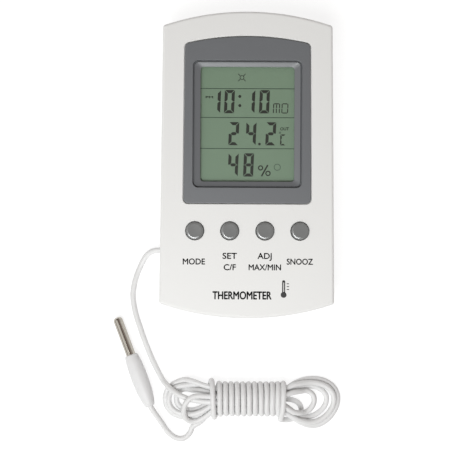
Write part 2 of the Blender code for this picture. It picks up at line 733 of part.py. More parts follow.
def make_switches(black, white):
    for i, x in enumerate(BUTTON_X, 1):
        half = SWITCH_SIDE / 2
        low = (x - half, BUTTON_Y - half, BOARD_TOP + GAP)
        body = box(f"switch_body_{i}", low, (x + half, BUTTON_Y + half, SWITCH_TOP), black)
        span = (SWITCH_FLOOR, SWITCH_TOP + PAST)
        at = (x, BUTTON_Y)
        cut(body, cylinder(f"switch_bore_{i}", PLUNGER_RADIUS + GAP, span, at, sides=16))
        profile = [(0.0, PLUNGER_Z[1]), (PLUNGER_RADIUS, PLUNGER_Z[1])]
        profile += [(PLUNGER_RADIUS, PLUNGER_Z[0]), (0.0, PLUNGER_Z[0])]
        plunger = turned(f"switch_plunger_{i}", profile, white, 12)
        plunger.location = (x, BUTTON_Y, 0.0)


def make_buttons(grey):
    """Each cap is turned about its own slide axis, with a flange that keeps it behind the front."""
    radius = BUTTON_RADIUS
    crown = [(0.0, BUTTON_TOP), (radius - 0.0008, BUTTON_TOP)]
    crown += [(radius - 0.0003, BUTTON_TOP - 0.0002), (radius, BUTTON_TOP - 0.0006)]
    skirt = [(radius, FLANGE_Z[1]), (FLANGE_RADIUS, FLANGE_Z[1])]
    skirt += [(FLANGE_RADIUS, FLANGE_Z[0]), (0.0, FLANGE_Z[0])]
    for name, x in zip(BUTTON_NAMES, BUTTON_X):
        cap = turned("button_" + name, crown + skirt, grey, 24)
        cap.location = (x, BUTTON_Y, 0.0)


# Back


def make_battery_door(white):
    """Its origin is on the hinge line at the edge where the tabs hook in."""
    hinge = (0.0, BAY_Y[1], DOOR_HINGE_Z)
    low_y = BAY_Y[0] - BAY_Y[1] + GAP
    half = BAY_HALF_X - GAP
    outline = [(-half, low_y, 0.0004), (half, low_y, 0.0004), (half, -GAP, 0.0004)]
    outline.append((-half, -GAP, 0.0004))
    inner = DOOR_Z[1] - DOOR_HINGE_Z
    door = plate("battery_door", rounded(outline, 2), DOOR_Z[0] - DOOR_HINGE_Z, inner, white)
    mesh_shift(door, door.location)
    door.location = hinge
    for i, x in enumerate((-TAB_X, TAB_X), 1):
        sides = (x - TAB_HALF, x + TAB_HALF)
        web_top = (TAB_Z[0] + TAB_Z[1]) / 2
        web = box(f"tab_web_{i}", (sides[0], TAB_Y[0], inner - GAP), (sides[1], -PAST, web_top))
        tab = box(f"tab_{i}", (sides[0], TAB_Y[0], TAB_Z[0]), (sides[1], TAB_Y[1], TAB_Z[1]))
        for piece in (web, tab):
            piece.parent = door
            join(door, piece)
    latch_low = (-LATCH_HALF, low_y + GAP, inner - GAP)
    latch_high = (LATCH_HALF, low_y + GAP + PAST, LATCH_RISE)
    latch = box("door_latch", latch_low, latch_high)
    latch.parent = door
    join(door, latch)


def make_stand_leg(white):
    """Its origin is on the line of its pegs."""
    low_y = -LEG_LENGTH
    half = LEG_HALF
    corner = LEG_CORNER
    outline = [(-half, low_y, corner), (half, low_y, corner), (half, 0.0, 0.0), (-half, 0.0, 0.0)]
    leg = plate("stand_leg", rounded(outline), -LEG_THICK / 2, LEG_THICK / 2, white)
    mesh_shift(leg, leg.location)
    leg.location = (0.0, LEG_HINGE_Y, LEG_HINGE_Z)
    barrel = cylinder("leg_barrel", LEG_BARREL, (-half, half), (0.0, 0.0), along="X", sides=16)
    reach = half + PEG_REACH
    pegs = cylinder("leg_pegs", LEG_PEG, (-reach, reach), (0.0, 0.0), along="X", sides=12)
    for piece in (barrel, pegs):
        piece.parent = leg
        join(leg, piece)


def mesh_shift(obj, by):
    for vertex in obj.data.vertices:
        vertex.co += by


def make_cell(sleeve):
    nub = CELL_NUB_RADIUS
    edge = CELL_EDGE
    shoulder = CELL_LENGTH - CELL_NUB
    profile = [(0.0, CELL_LENGTH), (nub, CELL_LENGTH), (nub, shoulder)]
    profile += [(CELL_RADIUS - edge, shoulder), (CELL_RADIUS, shoulder - edge)]
    profile += [(CELL_RADIUS, edge), (CELL_RADIUS - edge, 0.0), (0.0, 0.0)]
    cell = turned("battery_cell", profile, sleeve, 24)
    cell.rotation_euler = (0.0, pi / 2, 0.0)
    cell.location = (CELL_START, CELL_Y, CELL_Z)


def make_contacts(nickel):
    half = CONTACT_THICK / 2
    for name, side in (("negative", -1), ("positive", 1)):
        x = side * CONTACT_X
        low = (x - half, CONTACT_Y[0], CONTACT_Z[0])
        high = (x + half, CONTACT_Y[1], CONTACT_Z[1])
        contact = box("battery_contact_" + name, low, high, nickel)
        ends = sorted((x - side * half / 2, side * TAIL_END))
        tail_low = (ends[0], TAIL_Y[0], TAIL_Z[0])
        tail_high = (ends[1], TAIL_Y[1], TAIL_Z[1])
        join(contact, box("tail_" + name, tail_low, tail_high))


def make_spring(nickel):
    """A coil that narrows from the negative contact to the cell."""
    count = SPRING_TURNS * 10
    start = -CONTACT_X + CONTACT_THICK / 2 + GAP + SPRING_WIRE
    end = CELL_START - GAP - SPRING_WIRE
    coil = []
    for k in range(count + 1):
        share = k / count
        angle = 2 * pi * SPRING_TURNS * share
        radius = SPRING_RADIUS[0] + (SPRING_RADIUS[1] - SPRING_RADIUS[0]) * share
        x = start + (end - start) * share
        coil.append((x, CELL_Y + radius * cos(angle), CELL_Z + radius * sin(angle)))
    tube("battery_spring", coil, SPRING_WIRE, nickel)


def make_battery_wires(red, black):
    for name, side, material in (("red", 1, red), ("black", -1, black)):
        route = [(side * 0.0290, 0.0250, 0.0108), (side * 0.0300, 0.0225, 0.0108)]
        route += [(side * 0.0300, 0.0170, 0.0112), (side * 0.0285, 0.0125, 0.0124)]
        route.append((side * 0.0270, 0.0110, 0.0137))
        tube("battery_wire_" + name, smooth_route(route, 0.0020), WIRE_RADIUS, material)


# Cord and probe


def make_grommet(rubber):
    """A bush in the side wall, with a flange inside the case."""
    wall = case_half_width(GROMMET_Y)
    outer = wall + 0.0002
    flange = wall - WALL - GAP
    profile = [(0.0, outer), (GROMMET_RADIUS - 0.0003, outer), (GROMMET_RADIUS, outer - 0.0003)]
    profile += [(GROMMET_RADIUS, flange), (0.0027, flange), (0.0027, flange - 0.0009)]
    profile.append((0.0, flange - 0.0009))
    grommet = turned("cord_grommet", profile, rubber, 16)
    grommet.rotation_euler = (0.0, -pi / 2, 0.0)
    grommet.location = (0.0, GROMMET_Y, GROMMET_Z)


def make_hank(rubber):
    """The hank's outer shape: a low body with round ends, and the taller band of its wraps."""
    left, right = HANK_END_HALF
    waist = HANK_WAIST_HALF
    corners = [
        (HANK_X[0], HANK_Y - left, left * HANK_END_ROUND),
        (HANK_WAIST_X[0], HANK_Y - waist, 0.0),
        (HANK_WAIST_X[1], HANK_Y - waist, 0.0),
        (HANK_X[1], HANK_Y - right, right * HANK_END_ROUND),
        (HANK_X[1], HANK_Y + right, right * HANK_END_ROUND),
        (HANK_WAIST_X[1], HANK_Y + waist, 0.0),
        (HANK_WAIST_X[0], HANK_Y + waist, 0.0),
        (HANK_X[0], HANK_Y + left, left * HANK_END_ROUND),
    ]
    hank = plate("cord_hank", rounded(corners, 6), GAP, HANK_LOOP_TOP, rubber)
    middle = (sum(HANK_WAIST_X) / 2, HANK_Y)
    half = ((HANK_WAIST_X[1] - HANK_WAIST_X[0]) / 2, waist - 0.0001)
    wraps = plate("hank_wraps", rectangle(half, 0.0010, middle), 0.0001, HANK_WRAP_TOP)
    join(hank, wraps)


def probe_axis():
    return Vector(PROBE_TO) - Vector(PROBE_FROM)


def along_probe(obj, start):
    """Lays a piece turned about Z along the probe's axis, start from the boot's cord end."""
    way = probe_axis().normalized()
    obj.rotation_euler = way.to_track_quat("Z", "Y").to_euler()
    obj.location = Vector(PROBE_FROM) + way * start


def make_probe(rubber, steel, epoxy):
    length = BOOT_LENGTH
    wide = BOOT_RADIUS
    socket = TIP_RADIUS + GAP
    profile = [(0.0, length - BOOT_SOCKET), (socket, length - BOOT_SOCKET), (socket, length)]
    profile += [(wide - 0.0004, length), (wide, length - 0.0005), (wide, length - 0.0030)]
    profile += [(wide - 0.0004, length - 0.0070), (BOOT_NECK + 0.0003, 0.0040)]
    profile += [(BOOT_NECK, 0.0010), (BOOT_NECK - 0.0003, 0.0), (0.0, 0.0)]
    boot = turned("probe_boot", profile, rubber, 20)
    along_probe(boot, 0.0)
    start = length - BOOT_SOCKET + GAP
    reach = probe_axis().length - start
    radius = TIP_RADIUS
    angles = [pi / 2 - k * pi / 8 for k in range(1, 5)]
    nose = [(radius * cos(a), reach - radius + radius * sin(a)) for a in angles]
    bore_end = reach - radius
    profile = [(0.0, reach), *nose, (radius, 0.0)]
    profile += [(TIP_BORE, 0.0), (TIP_BORE, bore_end), (0.0, bore_end)]
    tip = turned("probe_tip", profile, steel, 20)
    along_probe(tip, start)
    bead_radius = 0.0011
    profile = [(0.0, 0.0040), (bead_radius * 0.7, 0.0037), (bead_radius, 0.0029)]
    profile += [(bead_radius, 0.0011), (bead_radius * 0.7, 0.0003), (0.0, 0.0)]
    bead = turned("sensor_bead", profile, epoxy, 12)
    along_probe(bead, probe_axis().length - radius - 0.0050)


def make_cord(rubber):
    step = 2.4 * CORD_RADIUS * 2
    tube("cord_inner", smooth_route(INNER_ROUTE, step), CORD_RADIUS, rubber)
    tube("cord_lead", smooth_route(LEAD_ROUTE, step), CORD_RADIUS, rubber)
    make_hank(rubber)
    tube("cord_probe_lead", smooth_route(PROBE_ROUTE, step), CORD_RADIUS, rubber)


def main():
    start_scene()
    white = finish("white_plastic", (0.80, 0.80, 0.79), 0.42)
    grey = finish("grey_plastic", (0.16, 0.165, 0.17), 0.45)
    button_grey = finish("button_grey", (0.19, 0.19, 0.19), 0.5)
    clear = finish("clear_plastic", (0.95, 0.96, 0.95), 0.05, 0.0, 0.95)
    glass = finish("lcd_glass", (0.16, 0.22, 0.165), 0.2)
    black = finish("black_plastic", (0.02, 0.02, 0.022), 0.5)
    zebra = finish("zebra_rubber", (0.30, 0.10, 0.12), 0.7)
    green = finish("board_green", (0.02, 0.14, 0.05), 0.45)
    epoxy = finish("black_epoxy", (0.012, 0.012, 0.013), 0.25)
    tin = finish("tinned_steel", (0.70, 0.70, 0.68), 0.3, 1.0)
    brass = finish("brass", (0.72, 0.52, 0.22), 0.3, 1.0)
    steel = finish("stainless_steel", (0.62, 0.60, 0.57), 0.22, 1.0)
    nickel = finish("nickel", (0.66, 0.64, 0.58), 0.28, 1.0)
    rubber = finish("white_rubber", (0.83, 0.83, 0.82), 0.55)
    sleeve = finish("cell_sleeve", (0.05, 0.12, 0.28), 0.35)
    red = finish("red_wire", (0.55, 0.02, 0.02), 0.45)
    blue = finish("blue_sleeve", (0.03, 0.06, 0.22), 0.35)
    make_front_cover(white)
    make_rear_cover(white)
    make_case_screws(tin)
    make_board_screws(tin)
    make_bezel(grey)
    make_display(clear, glass, black, zebra)
    make_board(green)
    make_board_pieces(epoxy, tin, blue, white)
    make_buzzer(brass, red)
    make_switches(black, white)
    make_buttons(button_grey)
    make_battery_door(white)
    make_stand_leg(white)
    make_cell(sleeve)
    make_contacts(nickel)
    make_spring(nickel)
    make_battery_wires(red, black)
    make_grommet(rubber)
    make_cord(rubber)
    make_probe(rubber, steel, epoxy)


main()
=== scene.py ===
"""The looks of a maximum minimum thermometer with an outdoor probe on a long thin cord.

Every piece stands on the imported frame: it rides one of the frame's bodies and keeps the frame's sizes.
Lengths are in metres, apart from the lists marked mm.
"""

from math import atan2, cos, pi, radians, sin

import bmesh
import bpy
import numpy as np
from bpy.props import FloatProperty, FloatVectorProperty, IntProperty, PointerProperty
from bpy.types import Operator, Panel, PropertyGroup
from mathutils import Matrix, Vector


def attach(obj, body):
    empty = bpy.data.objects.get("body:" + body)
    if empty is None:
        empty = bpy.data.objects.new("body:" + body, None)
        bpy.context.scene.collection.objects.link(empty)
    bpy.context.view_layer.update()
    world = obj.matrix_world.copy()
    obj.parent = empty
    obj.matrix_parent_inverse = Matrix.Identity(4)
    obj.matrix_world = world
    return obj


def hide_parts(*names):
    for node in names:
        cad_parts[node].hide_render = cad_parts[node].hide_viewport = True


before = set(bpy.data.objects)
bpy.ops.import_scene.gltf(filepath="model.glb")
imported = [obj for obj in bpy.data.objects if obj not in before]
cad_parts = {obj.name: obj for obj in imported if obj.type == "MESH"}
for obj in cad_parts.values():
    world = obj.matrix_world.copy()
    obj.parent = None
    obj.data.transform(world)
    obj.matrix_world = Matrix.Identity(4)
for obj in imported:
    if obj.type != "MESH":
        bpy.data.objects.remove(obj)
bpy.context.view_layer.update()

bl_info = {
    "name": "Maximum Minimum Thermometer",
    "version": (1, 0, 0),
    "blender": (4, 5, 0),
    "location": "3D View > Sidebar > Thermometer",
    "description": "Makes a maximum minimum thermometer with an outdoor probe, around its packed frame",
    "category": "Add Mesh",
}

MM = 0.001
GAP = 0.0003  # between pieces that touch
PAST = 0.001  # how far a cutter runs past the face that it opens

# The case, as in the frame
CASE_TOP = 0.023
CASE_LINE = (0.0371, 0.03595, -0.0588, 0.0590, 0.0062, 0.0060, 0.0014)
CASE_RIM = 0.0012
WALL = 0.0018
SPLIT = 0.011
TONGUE = (0.0009, 0.0015)  # thickness and rise
LEDGE = 0.0086
LIP = 0.00025  # rounding of the edges of openings
BEZEL_LINE = (0.0270, 0.0265, -0.0163, 0.0512, 0.000001, 0.0031, 0.0020)
BEZEL_TOP = 0.0233
BEZEL_SEAT = 0.0219
DISPLAY_Y = 0.0173
VIEW_HALF = (0.0199, 0.0243)
STEP_HALF = (0.0231, 0.0269)
SLOPE_HALF = (0.0226, 0.0264)
COLLAR_HALF = (0.0243, 0.0281)
OPENING_HALF = (0.0246, 0.0284)
PANE_HALF = (0.0225, 0.0270)
PANE_LEVELS = (0.0202, 0.0210)
PANEL_LEVELS = (0.0181, 0.0199)
INK = 0.00002  # thickness of what is printed
BUTTONS = {"mode": -0.0221, "set": -0.0073, "adjust": 0.0076, "snooze": 0.0224}
BUTTON_Y = -0.0279
BUTTON_RADIUS = 0.0037
BUTTON_TOP = 0.0242
FLANGE_RADIUS = 0.0047
CASE_SCREWS = ((-0.0295, 0.0515), (0.0295, 0.0515), (-0.0300, -0.0515), (0.0300, -0.0515))
BOARD_SCREWS = ((-0.0278, 0.0435), (0.0278, 0.0435), (-0.0278, -0.0430), (0.0278, -0.0430))
CASE_BOSS = (0.0030, 0.0060)  # radius and low end of the front cover's screw bosses
BOARD_POST = (0.0022, 0.0163)
BOSS_PILOT = (0.0013, 0.0047, 0.0160)  # radius, low end and high end
POST_PILOT = (0.0010, 0.0150, 0.0205)
REAR_BOSS = (0.0044, 0.0057)  # radius and high end
COUNTERBORE = (0.0029, 0.0032)
SCREW_WAY = (0.0013, 0.0030, 0.0067)
BAY_HALF = 0.0252
BAY_Y = (0.0155, 0.0295)
BAY_TOP = 0.0131
TAB_X = 0.0150
TAB_HALF = 0.0030
LEG_HALF = 0.0130
LEG_LENGTH = 0.050
LEG_HINGE = (-0.008, 0.0016)
PEG_RADIUS = 0.0008
PEG_REACH = 0.0014  # past the leg's sides
TRAY_HALF = 0.0148
TRAY_TOP = 0.0048
POCKET_Y = (-0.0588, -0.0062)
POCKET_TOP = 0.0033
KEYHOLE_Y = 0.0450
KEYHOLE_RADIUS = 0.0038
KEYHOLE_SLOT = (0.0021, 0.0065)  # half width and half length
BUZZER_AT = (-0.0248, -0.0240)
VENT_X = (0.0185, 0.0305)
VENT_Y = (-0.0300, -0.0270, -0.0240, -0.0210, -0.0180)
VENT_HALF = 0.0007
SOUND_HOLES = (0.0042, 0.0008)  # radius of their ring and of each
ROOT = 0.0005  # how deep what is joined to the back starts in it
CELL_START = (-0.02035, 0.0225, 0.00755)
CELL_RADIUS = 0.00525
CELL_LENGTH = 0.0445
PROBE_FROM = Vector((-0.0418, -0.1045, 0.00594))
PROBE_TO = Vector((-0.0567, -0.0664, 0.0020))
SLEEVE_LENGTH = 0.0236
SLEEVE_RADIUS = 0.00365
TUBE_RADIUS = 0.0020

# The cord's route where it isn't wound: its lead from the case, and its run to the probe
LEAD_ROUTE = (
    (-0.0381, -0.0366, 0.0055),
    (-0.0396, -0.0367, 0.0052),
    (-0.0418, -0.0374, 0.0037),
    (-0.0441, -0.0394, 0.0021),
    (-0.0463, -0.0433, 0.0013),
    (-0.0486, -0.0492, 0.0012),
    (-0.0498, -0.0566, 0.0012),
    (-0.0487, -0.0640, 0.0012),
    (-0.0466, -0.0708, 0.0012),
    (-0.0441, -0.0778, 0.0012),
    (-0.0412, -0.0848, 0.0012),
    (-0.0385, -0.0903, 0.0014),
    (-0.0363, -0.0941, 0.0020),
)
PROBE_ROUTE = (
    (-0.0232, -0.1140, 0.0014),
    (-0.0243, -0.1170, 0.0013),
    (-0.0272, -0.1196, 0.0013),
    (-0.0310, -0.1192, 0.0013),
    (-0.0344, -0.1163, 0.0017),
    (-0.0370, -0.1122, 0.0033),
    (-0.0394, -0.1085, 0.0049),
    (-0.0418, -0.1045, 0.00594),
    (-0.0429, -0.1017, 0.00565),
)
CORD_EXIT = (-0.0373, -0.0366, 0.0055)
HANK_AT = (0.0, -0.1014, 0.0)

# The hank, in mm from its middle. A run through its waist is (across, height).
RUN_SLOTS = {
    "top low": (-1.2, 8.4),
    "top high": (1.2, 8.4),
    "middle low edge": (-4.3, 6.0),
    "middle high edge": (4.3, 6.0),
    "bottom low": (-2.4, 3.6),
    "bottom high": (2.4, 3.6),
    "middle low": (-1.45, 6.0),
    "middle high": (1.45, 6.0),
    "bottom": (0.0, 3.6),
}
RUN_ENDS = (-13.0, 15.0)
RIGHT_FOLD = (
    (18.8, 4.9), (22.9, 7.4), (28.1, 8.8), (35.0, 8.0), (39.4, 5.0), (41.3, 0.3),
    (40.2, -4.6), (36.6, -9.7), (30.8, -12.9), (25.0, -11.3), (20.6, -8.2), (17.6, -5.6),
)
LEFT_FOLD = (
    (-17.0, 5.2), (-22.2, 7.0), (-27.6, 7.5), (-31.8, 6.4), (-34.8, 3.8), (-35.9, -0.3),
    (-35.3, -4.2), (-32.6, -7.4), (-28.0, -9.0), (-22.4, -8.2), (-17.4, -5.8),
)
# A fold's share of the outermost one, along and across, and the heights of its middle and of its ends
RIGHT_FOLDS = ((0.56, 0.52, 3.6), (0.93, 0.84, 3.3), (1.0, 1.0, 1.2), (0.80, 0.66, 1.3))
LEFT_FOLDS = ((1.0, 1.0, 1.2), (0.92, 0.84, 3.3), (0.76, 0.64, 1.2))
FOLD_PIVOTS = ((17.0, -0.8), (-15.5, -0.6))  # towards which smaller folds shrink
OVER_ROUTE = (
    (-34.4, 5.2, 4.0), (-31.6, 2.9, 6.2), (-28.6, 1.0, 6.6), (-24.0, -0.6, 6.9), (-18.0, -1.2, 8.0),
)
CROSSING_FOLD = (
    (-17.5, 1.3, 8.8), (-21.2, 2.2, 9.2), (-24.2, 1.4, 9.4), (-26.6, -1.6, 9.2), (-27.4, -5.4, 7.4),
    (-26.2, -9.0, 5.2), (-23.0, -11.0, 3.9), (-19.4, -9.6, 4.2), (-16.2, -6.6, 5.2),
)
TURN_TO_WRAPS = (
    (18.4, -0.3, 3.0), (21.8, -0.8, 1.6), (24.6, -2.8, 1.2), (25.2, -6.0, 1.2), (23.2, -8.8, 1.2),
    (19.8, -9.9, 1.8), (16.8, -9.5, 3.4),
)
LEAVING = ((-15.4, -5.0, 1.2), (-17.4, -9.0, 1.2), (-20.0, -11.6, 1.3))
WRAPS = 13
WRAP_PITCH = 2.56
WRAP_START_X = 17.16
WRAP_HALF = (7.1, 4.8)
WRAP_MIDDLE_Z = 6.0


# Properties


class CaseProperties(PropertyGroup):
    """The case's covers and the frame round its display."""

    cover_colour: FloatVectorProperty(
        name="Covers", description="Colour of the covers", subtype="COLOR", size=3,
        default=(0.80, 0.80, 0.79),
    )
    bezel_colour: FloatVectorProperty(
        name="Bezel", description="Colour of the frame round the display", subtype="COLOR", size=3,
        default=(0.145, 0.152, 0.162),
    )
    rim: FloatProperty(name="Rim", description="Rounding of the case's rims", default=CASE_RIM, unit="LENGTH")


class DisplayProperties(PropertyGroup):
    """The liquid crystal display."""

    glass_colour: FloatVectorProperty(
        name="Glass", description="Colour of the display behind its marks", subtype="COLOR", size=3,
        default=(0.185, 0.275, 0.19),
    )
    ink_colour: FloatVectorProperty(
        name="Marks", description="Colour of the marks that are on", subtype="COLOR", size=3,
        default=(0.012, 0.018, 0.012),
    )
    stroke: FloatProperty(
        name="Stroke", description="Width of a digit's segments", default=0.00132, unit="LENGTH"
    )
    slant: FloatProperty(name="Slant", description="Lean of the digits", default=radians(2.3), subtype="ANGLE")


class ButtonProperties(PropertyGroup):
    """The four push buttons and the legends under them."""

    colour: FloatVectorProperty(
        name="Caps", description="Colour of the button caps", subtype="COLOR", size=3,
        default=(0.20, 0.205, 0.205),
    )
    legend_colour: FloatVectorProperty(
        name="Legends", description="Colour of the printed words", subtype="COLOR", size=3,
        default=(0.012, 0.012, 0.012),
    )
    legend_height: FloatProperty(
        name="Legend height", description="Height of the capitals", default=0.0024, unit="LENGTH"
    )


class CordProperties(PropertyGroup):
    """The cord, its grommet and its probe."""

    diameter: FloatProperty(
        name="Diameter", description="Thickness of the cord", default=0.0024, unit="LENGTH"
    )
    point_step: FloatProperty(
        name="Point step", description="Spacing of the points on the cord", default=0.0010, unit="LENGTH"
    )
    rounds: IntProperty(
        name="Settling rounds", description="Rounds in which the runs of the hank push apart", default=160
    )
    colour: FloatVectorProperty(
        name="Colour", description="Colour of the cord", subtype="COLOR", size=3,
        default=(0.75, 0.75, 0.75),
    )


class StageProperties(PropertyGroup):
    """The floor, the lights and the camera."""

    lens: FloatProperty(name="Lens", description="Focal length in mm on a 36 mm sensor", default=93.76)
    camera_height: FloatProperty(
        name="Camera height", description="Height of the camera", default=0.523, unit="LENGTH"
    )
    camera_roll: FloatProperty(
        name="Camera roll", description="Turn of the camera about its view", default=radians(0.25),
        subtype="ANGLE",
    )
    key_energy: FloatProperty(
        name="Key light", description="Power of the key light in watts", default=2.9
    )
    world_strength: FloatProperty(
        name="Ambient light", description="Strength of the light from all around", default=0.92
    )


# Shapes: every surface is worked out as whole arrays of points


def quads(rows, columns, ring=False):
    """Faces between neighbouring rows of a grid whose columns close on themselves; ring joins the end rows."""
    row = np.arange(rows if ring else rows - 1)[:, None]
    column = np.arange(columns)[None, :]
    above = (row + 1) % rows
    beside = (column + 1) % columns
    corners = (
        row * columns + column, row * columns + beside, above * columns + beside, above * columns + column
    )
    return np.stack(np.broadcast_arrays(*corners), axis=-1).reshape(-1, 4).tolist()


def surface(name, points, faces, material=None, sharp=30.0):
    """A closed mesh from an array of points. Points that meet are merged, and its faces are turned outwards."""
    mesh = bpy.data.meshes.new(name)
    mesh.from_pydata(points.reshape(-1, 3).tolist(), [], faces)
    bm = bmesh.new()
    bm.from_mesh(mesh)
    bmesh.ops.remove_doubles(bm, verts=bm.verts, dist=0.0000002)
    if bm.calc_volume(signed=True) < 0.0:
        bmesh.ops.reverse_faces(bm, faces=bm.faces)
    bm.to_mesh(mesh)
    bm.free()
    obj = bpy.data.objects.new(name, mesh)
    bpy.context.scene.collection.objects.link(obj)
    if material:
        mesh.materials.append(material)
    shade(obj, sharp)
    return obj


def shade(obj, sharp=30.0):
    """Smooth shading with a crease where faces meet at more than `sharp` degrees."""
    obj.data.shade_smooth()
    obj.data.set_sharp_from_angle(angle=radians(sharp))


def smooth_route(points, spacing):
    """Points `spacing` apart on a smooth curve through the given ones: each stretch is the Catmull-Rom cubic
    whose slope at a point is half the step between that point's two neighbours."""
    own = np.array(points, float)
    padded = np.concatenate([[2 * own[0] - own[1]], own, [2 * own[-1] - own[-2]]])
    t = np.linspace(0.0, 1.0, 24, endpoint=False)[None, :, None]
    a, b, c, d = (padded[k : len(padded) - 3 + k, None, :] for k in range(4))
    bend = (2 * a - 5 * b + 4 * c - d) * t**2 + (3 * b - a - 3 * c + d) * t**3
    line = np.concatenate([(0.5 * (2 * b + (c - a) * t + bend)).reshape(-1, own.shape[1]), own[-1:]])
    return respaced(line, spacing)


def respaced(line, spacing):
    """Points about `spacing` apart along a polyline, by linear steps of its length."""
    along = np.concatenate([[0.0], np.cumsum(np.linalg.norm(np.diff(line, axis=0), axis=1))])
    stops = np.linspace(0.0, along[-1], max(3, round(along[-1] / spacing) + 1))
    return np.stack([np.interp(stops, along, line[:, k]) for k in range(line.shape[1])], axis=1)


def line_length(line):
    return float(np.linalg.norm(np.diff(line, axis=0), axis=1).sum())


def eased(share):
    """A share from 0 to 1 that starts and ends gently: three squares less two cubes of it."""
    share = np.clip(share, 0.0, 1.0)
    return share * share * (3 - 2 * share)


def arched(line, depth=0.0, arc_steps=14, corner_steps=6):
    """An outline, anticlockwise from the middle of its low end: two leaning sides between two arcs that rise
    past their corners, with round corners between them, all moved inwards by depth. A corner's centre is
    where the side moved in by depth and radius crosses the arc moved in as far."""
    low_half, top_half, low_y, top_y, low_rise, top_rise, corner = line
    radius = max(corner - depth, 0.0002)
    side = np.array([top_half - low_half, top_y - low_y])
    side /= np.linalg.norm(side)
    inward = np.array([-side[1], side[0]])
    start = np.array([low_half, low_y]) + inward * (depth + radius)
    ends = []
    for half, y, rise, way in ((low_half, low_y, low_rise, -1), (top_half, top_y, top_rise, 1)):
        big = (half**2 + rise**2) / (2 * rise)
        middle = np.array([0.0, y + way * (rise - big)])
        reach = start - middle
        along = reach @ side
        step = -along + way * np.sqrt(along**2 - reach @ reach + (big - depth - radius) ** 2)
        centre = start + side * step
        angle = atan2(*(centre - middle)[::-1])
        ends.append((middle, big - depth, centre, angle))
    flat = atan2(-side[0], side[1])
    (low_middle, low_big, low_centre, low_angle), (top_middle, top_big, top_centre, top_angle) = ends
    half_line = np.concatenate([
        arc(low_middle, low_big, -pi / 2, low_angle, arc_steps),
        arc(low_centre, radius, low_angle, flat, corner_steps),
        arc(top_centre, radius, flat, top_angle, corner_steps),
        arc(top_middle, top_big, top_angle, pi / 2, arc_steps),
    ])
    keep = np.ones(len(half_line), bool)
    keep[[arc_steps, 2 * corner_steps + arc_steps + 2]] = False
    half_line = half_line[keep]
    return np.concatenate([half_line, half_line[-2:0:-1] * (-1, 1)])


def arc(centre, radius, start, end, steps):
    """Points of a circle's arc: its centre plus radius times (cos a, sin a)."""
    angle = np.linspace(start, end, steps + 1)
    return np.stack([centre[0] + radius * np.cos(angle), centre[1] + radius * np.sin(angle)], axis=1)


def case_line(depth=0.0):
    return arched(CASE_LINE, depth)


def bezel_line(depth=0.0):
    return arched(BEZEL_LINE, depth)


def box_line(half, middle, corner):
    """A rounded rectangle, as an arched outline with next to no rise."""
    line = (half[0], half[0], middle[1] - half[1], middle[1] + half[1], 0.000001, 0.000001, corner)
    return lambda depth=0.0: arched(line, depth) + (middle[0], 0.0)


def display_line(half, corner):
    return box_line(half, (0.0, DISPLAY_Y), corner)


def round_line(radius, middle=(0.0, 0.0), steps=48):
    return lambda depth=0.0: arc(middle, radius - depth, 0.0, 2 * pi, steps)[:-1]


def levels(*rows):
    """Rings of points, one for each (outline, depth, height)."""
    return np.stack([
        np.column_stack([line(depth), np.full(len(line(depth)), height)]) for line, depth, height in rows
    ])


def rounding(line, radius, face, way=1, flare=False, depth=0.0, steps=6):
    """Rows of a quarter circle from an upright wall to a flat face: the wall's outline moves in by
    radius (1 - cos a), or out if it flares, while its height nears the face by radius sin a."""
    turn = np.linspace(0.0, pi / 2, steps + 1)
    shift = radius * (1 - np.cos(turn)) * (-1 if flare else 1)
    height = face - way * radius * (1 - np.sin(turn))
    return [(line, depth + s, h) for s, h in zip(shift, height)]


def loft(name, rings, material=None, ring=False, sharp=30.0):
    """A closed surface through rings of points, its end rings capped or joined to each other."""
    rows, columns, _ = rings.shape
    faces = quads(rows, columns, ring)
    if not ring:
        faces.append(list(range(columns))[::-1])
        faces.append(list(range((rows - 1) * columns, rows * columns)))
    return surface(name, rings, faces, material, sharp)


def spun(name, profile, material=None, columns=48, sharp=30.0, ring=False):
    """A (radius, height) profile turned about Z: each point is (r cos a, r sin a, h)."""
    profile = np.array(profile, float)
    angle = np.linspace(0.0, 2 * pi, columns, endpoint=False)
    rings = np.stack([
        profile[:, :1] * np.cos(angle),
        profile[:, :1] * np.sin(angle),
        profile[:, 1:] + 0 * angle,
    ], axis=-1)
    return surface(name, rings, quads(len(profile), columns, ring), material, sharp)


def softened(line, reach, steps=4):
    """A polyline whose inner corners are rounded: each is a quadratic Bezier curve from `reach` before the
    corner to `reach` after it, or from the middle of a shorter side."""
    line = np.array(line, float)
    before = line[:-2] - line[1:-1]
    after = line[2:] - line[1:-1]
    length_before = np.linalg.norm(before, axis=1)[:, None]
    length_after = np.linalg.norm(after, axis=1)[:, None]
    first = line[1:-1] + before / length_before * np.minimum(reach, length_before / 2.05)
    last = line[1:-1] + after / length_after * np.minimum(reach, length_after / 2.05)
    t = np.linspace(0.0, 1.0, steps + 1)[None, :, None]
    curves = (1 - t) ** 2 * first[:, None] + 2 * t * (1 - t) * line[1:-1, None] + t**2 * last[:, None]
    return np.concatenate([line[:1], curves.reshape(-1, line.shape[1]), line[-1:]])


def block(name, low, high, corner=0.0004, edge=0.0, material=None):
    """A box with round upright edges and, if asked, a rounding of its top and bottom rims."""
    half = ((high[0] - low[0]) / 2, (high[1] - low[1]) / 2)
    middle = ((high[0] + low[0]) / 2, (high[1] + low[1]) / 2)
    line = box_line(half, middle, corner)
    if not edge:
        return loft(name, levels((line, 0.0, low[2]), (line, 0.0, high[2])), material)
    rows = rounding(line, edge, low[2], -1, steps=4)[::-1] + rounding(line, edge, high[2], 1, steps=4)
    return loft(name, levels(*rows), material)


def rod(name, radius, low, high, middle, material=None, columns=32):
    """An upright cylinder."""
    line = round_line(radius, middle, columns)
    return loft(name, levels((line, 0.0, low), (line, 0.0, high)), material)


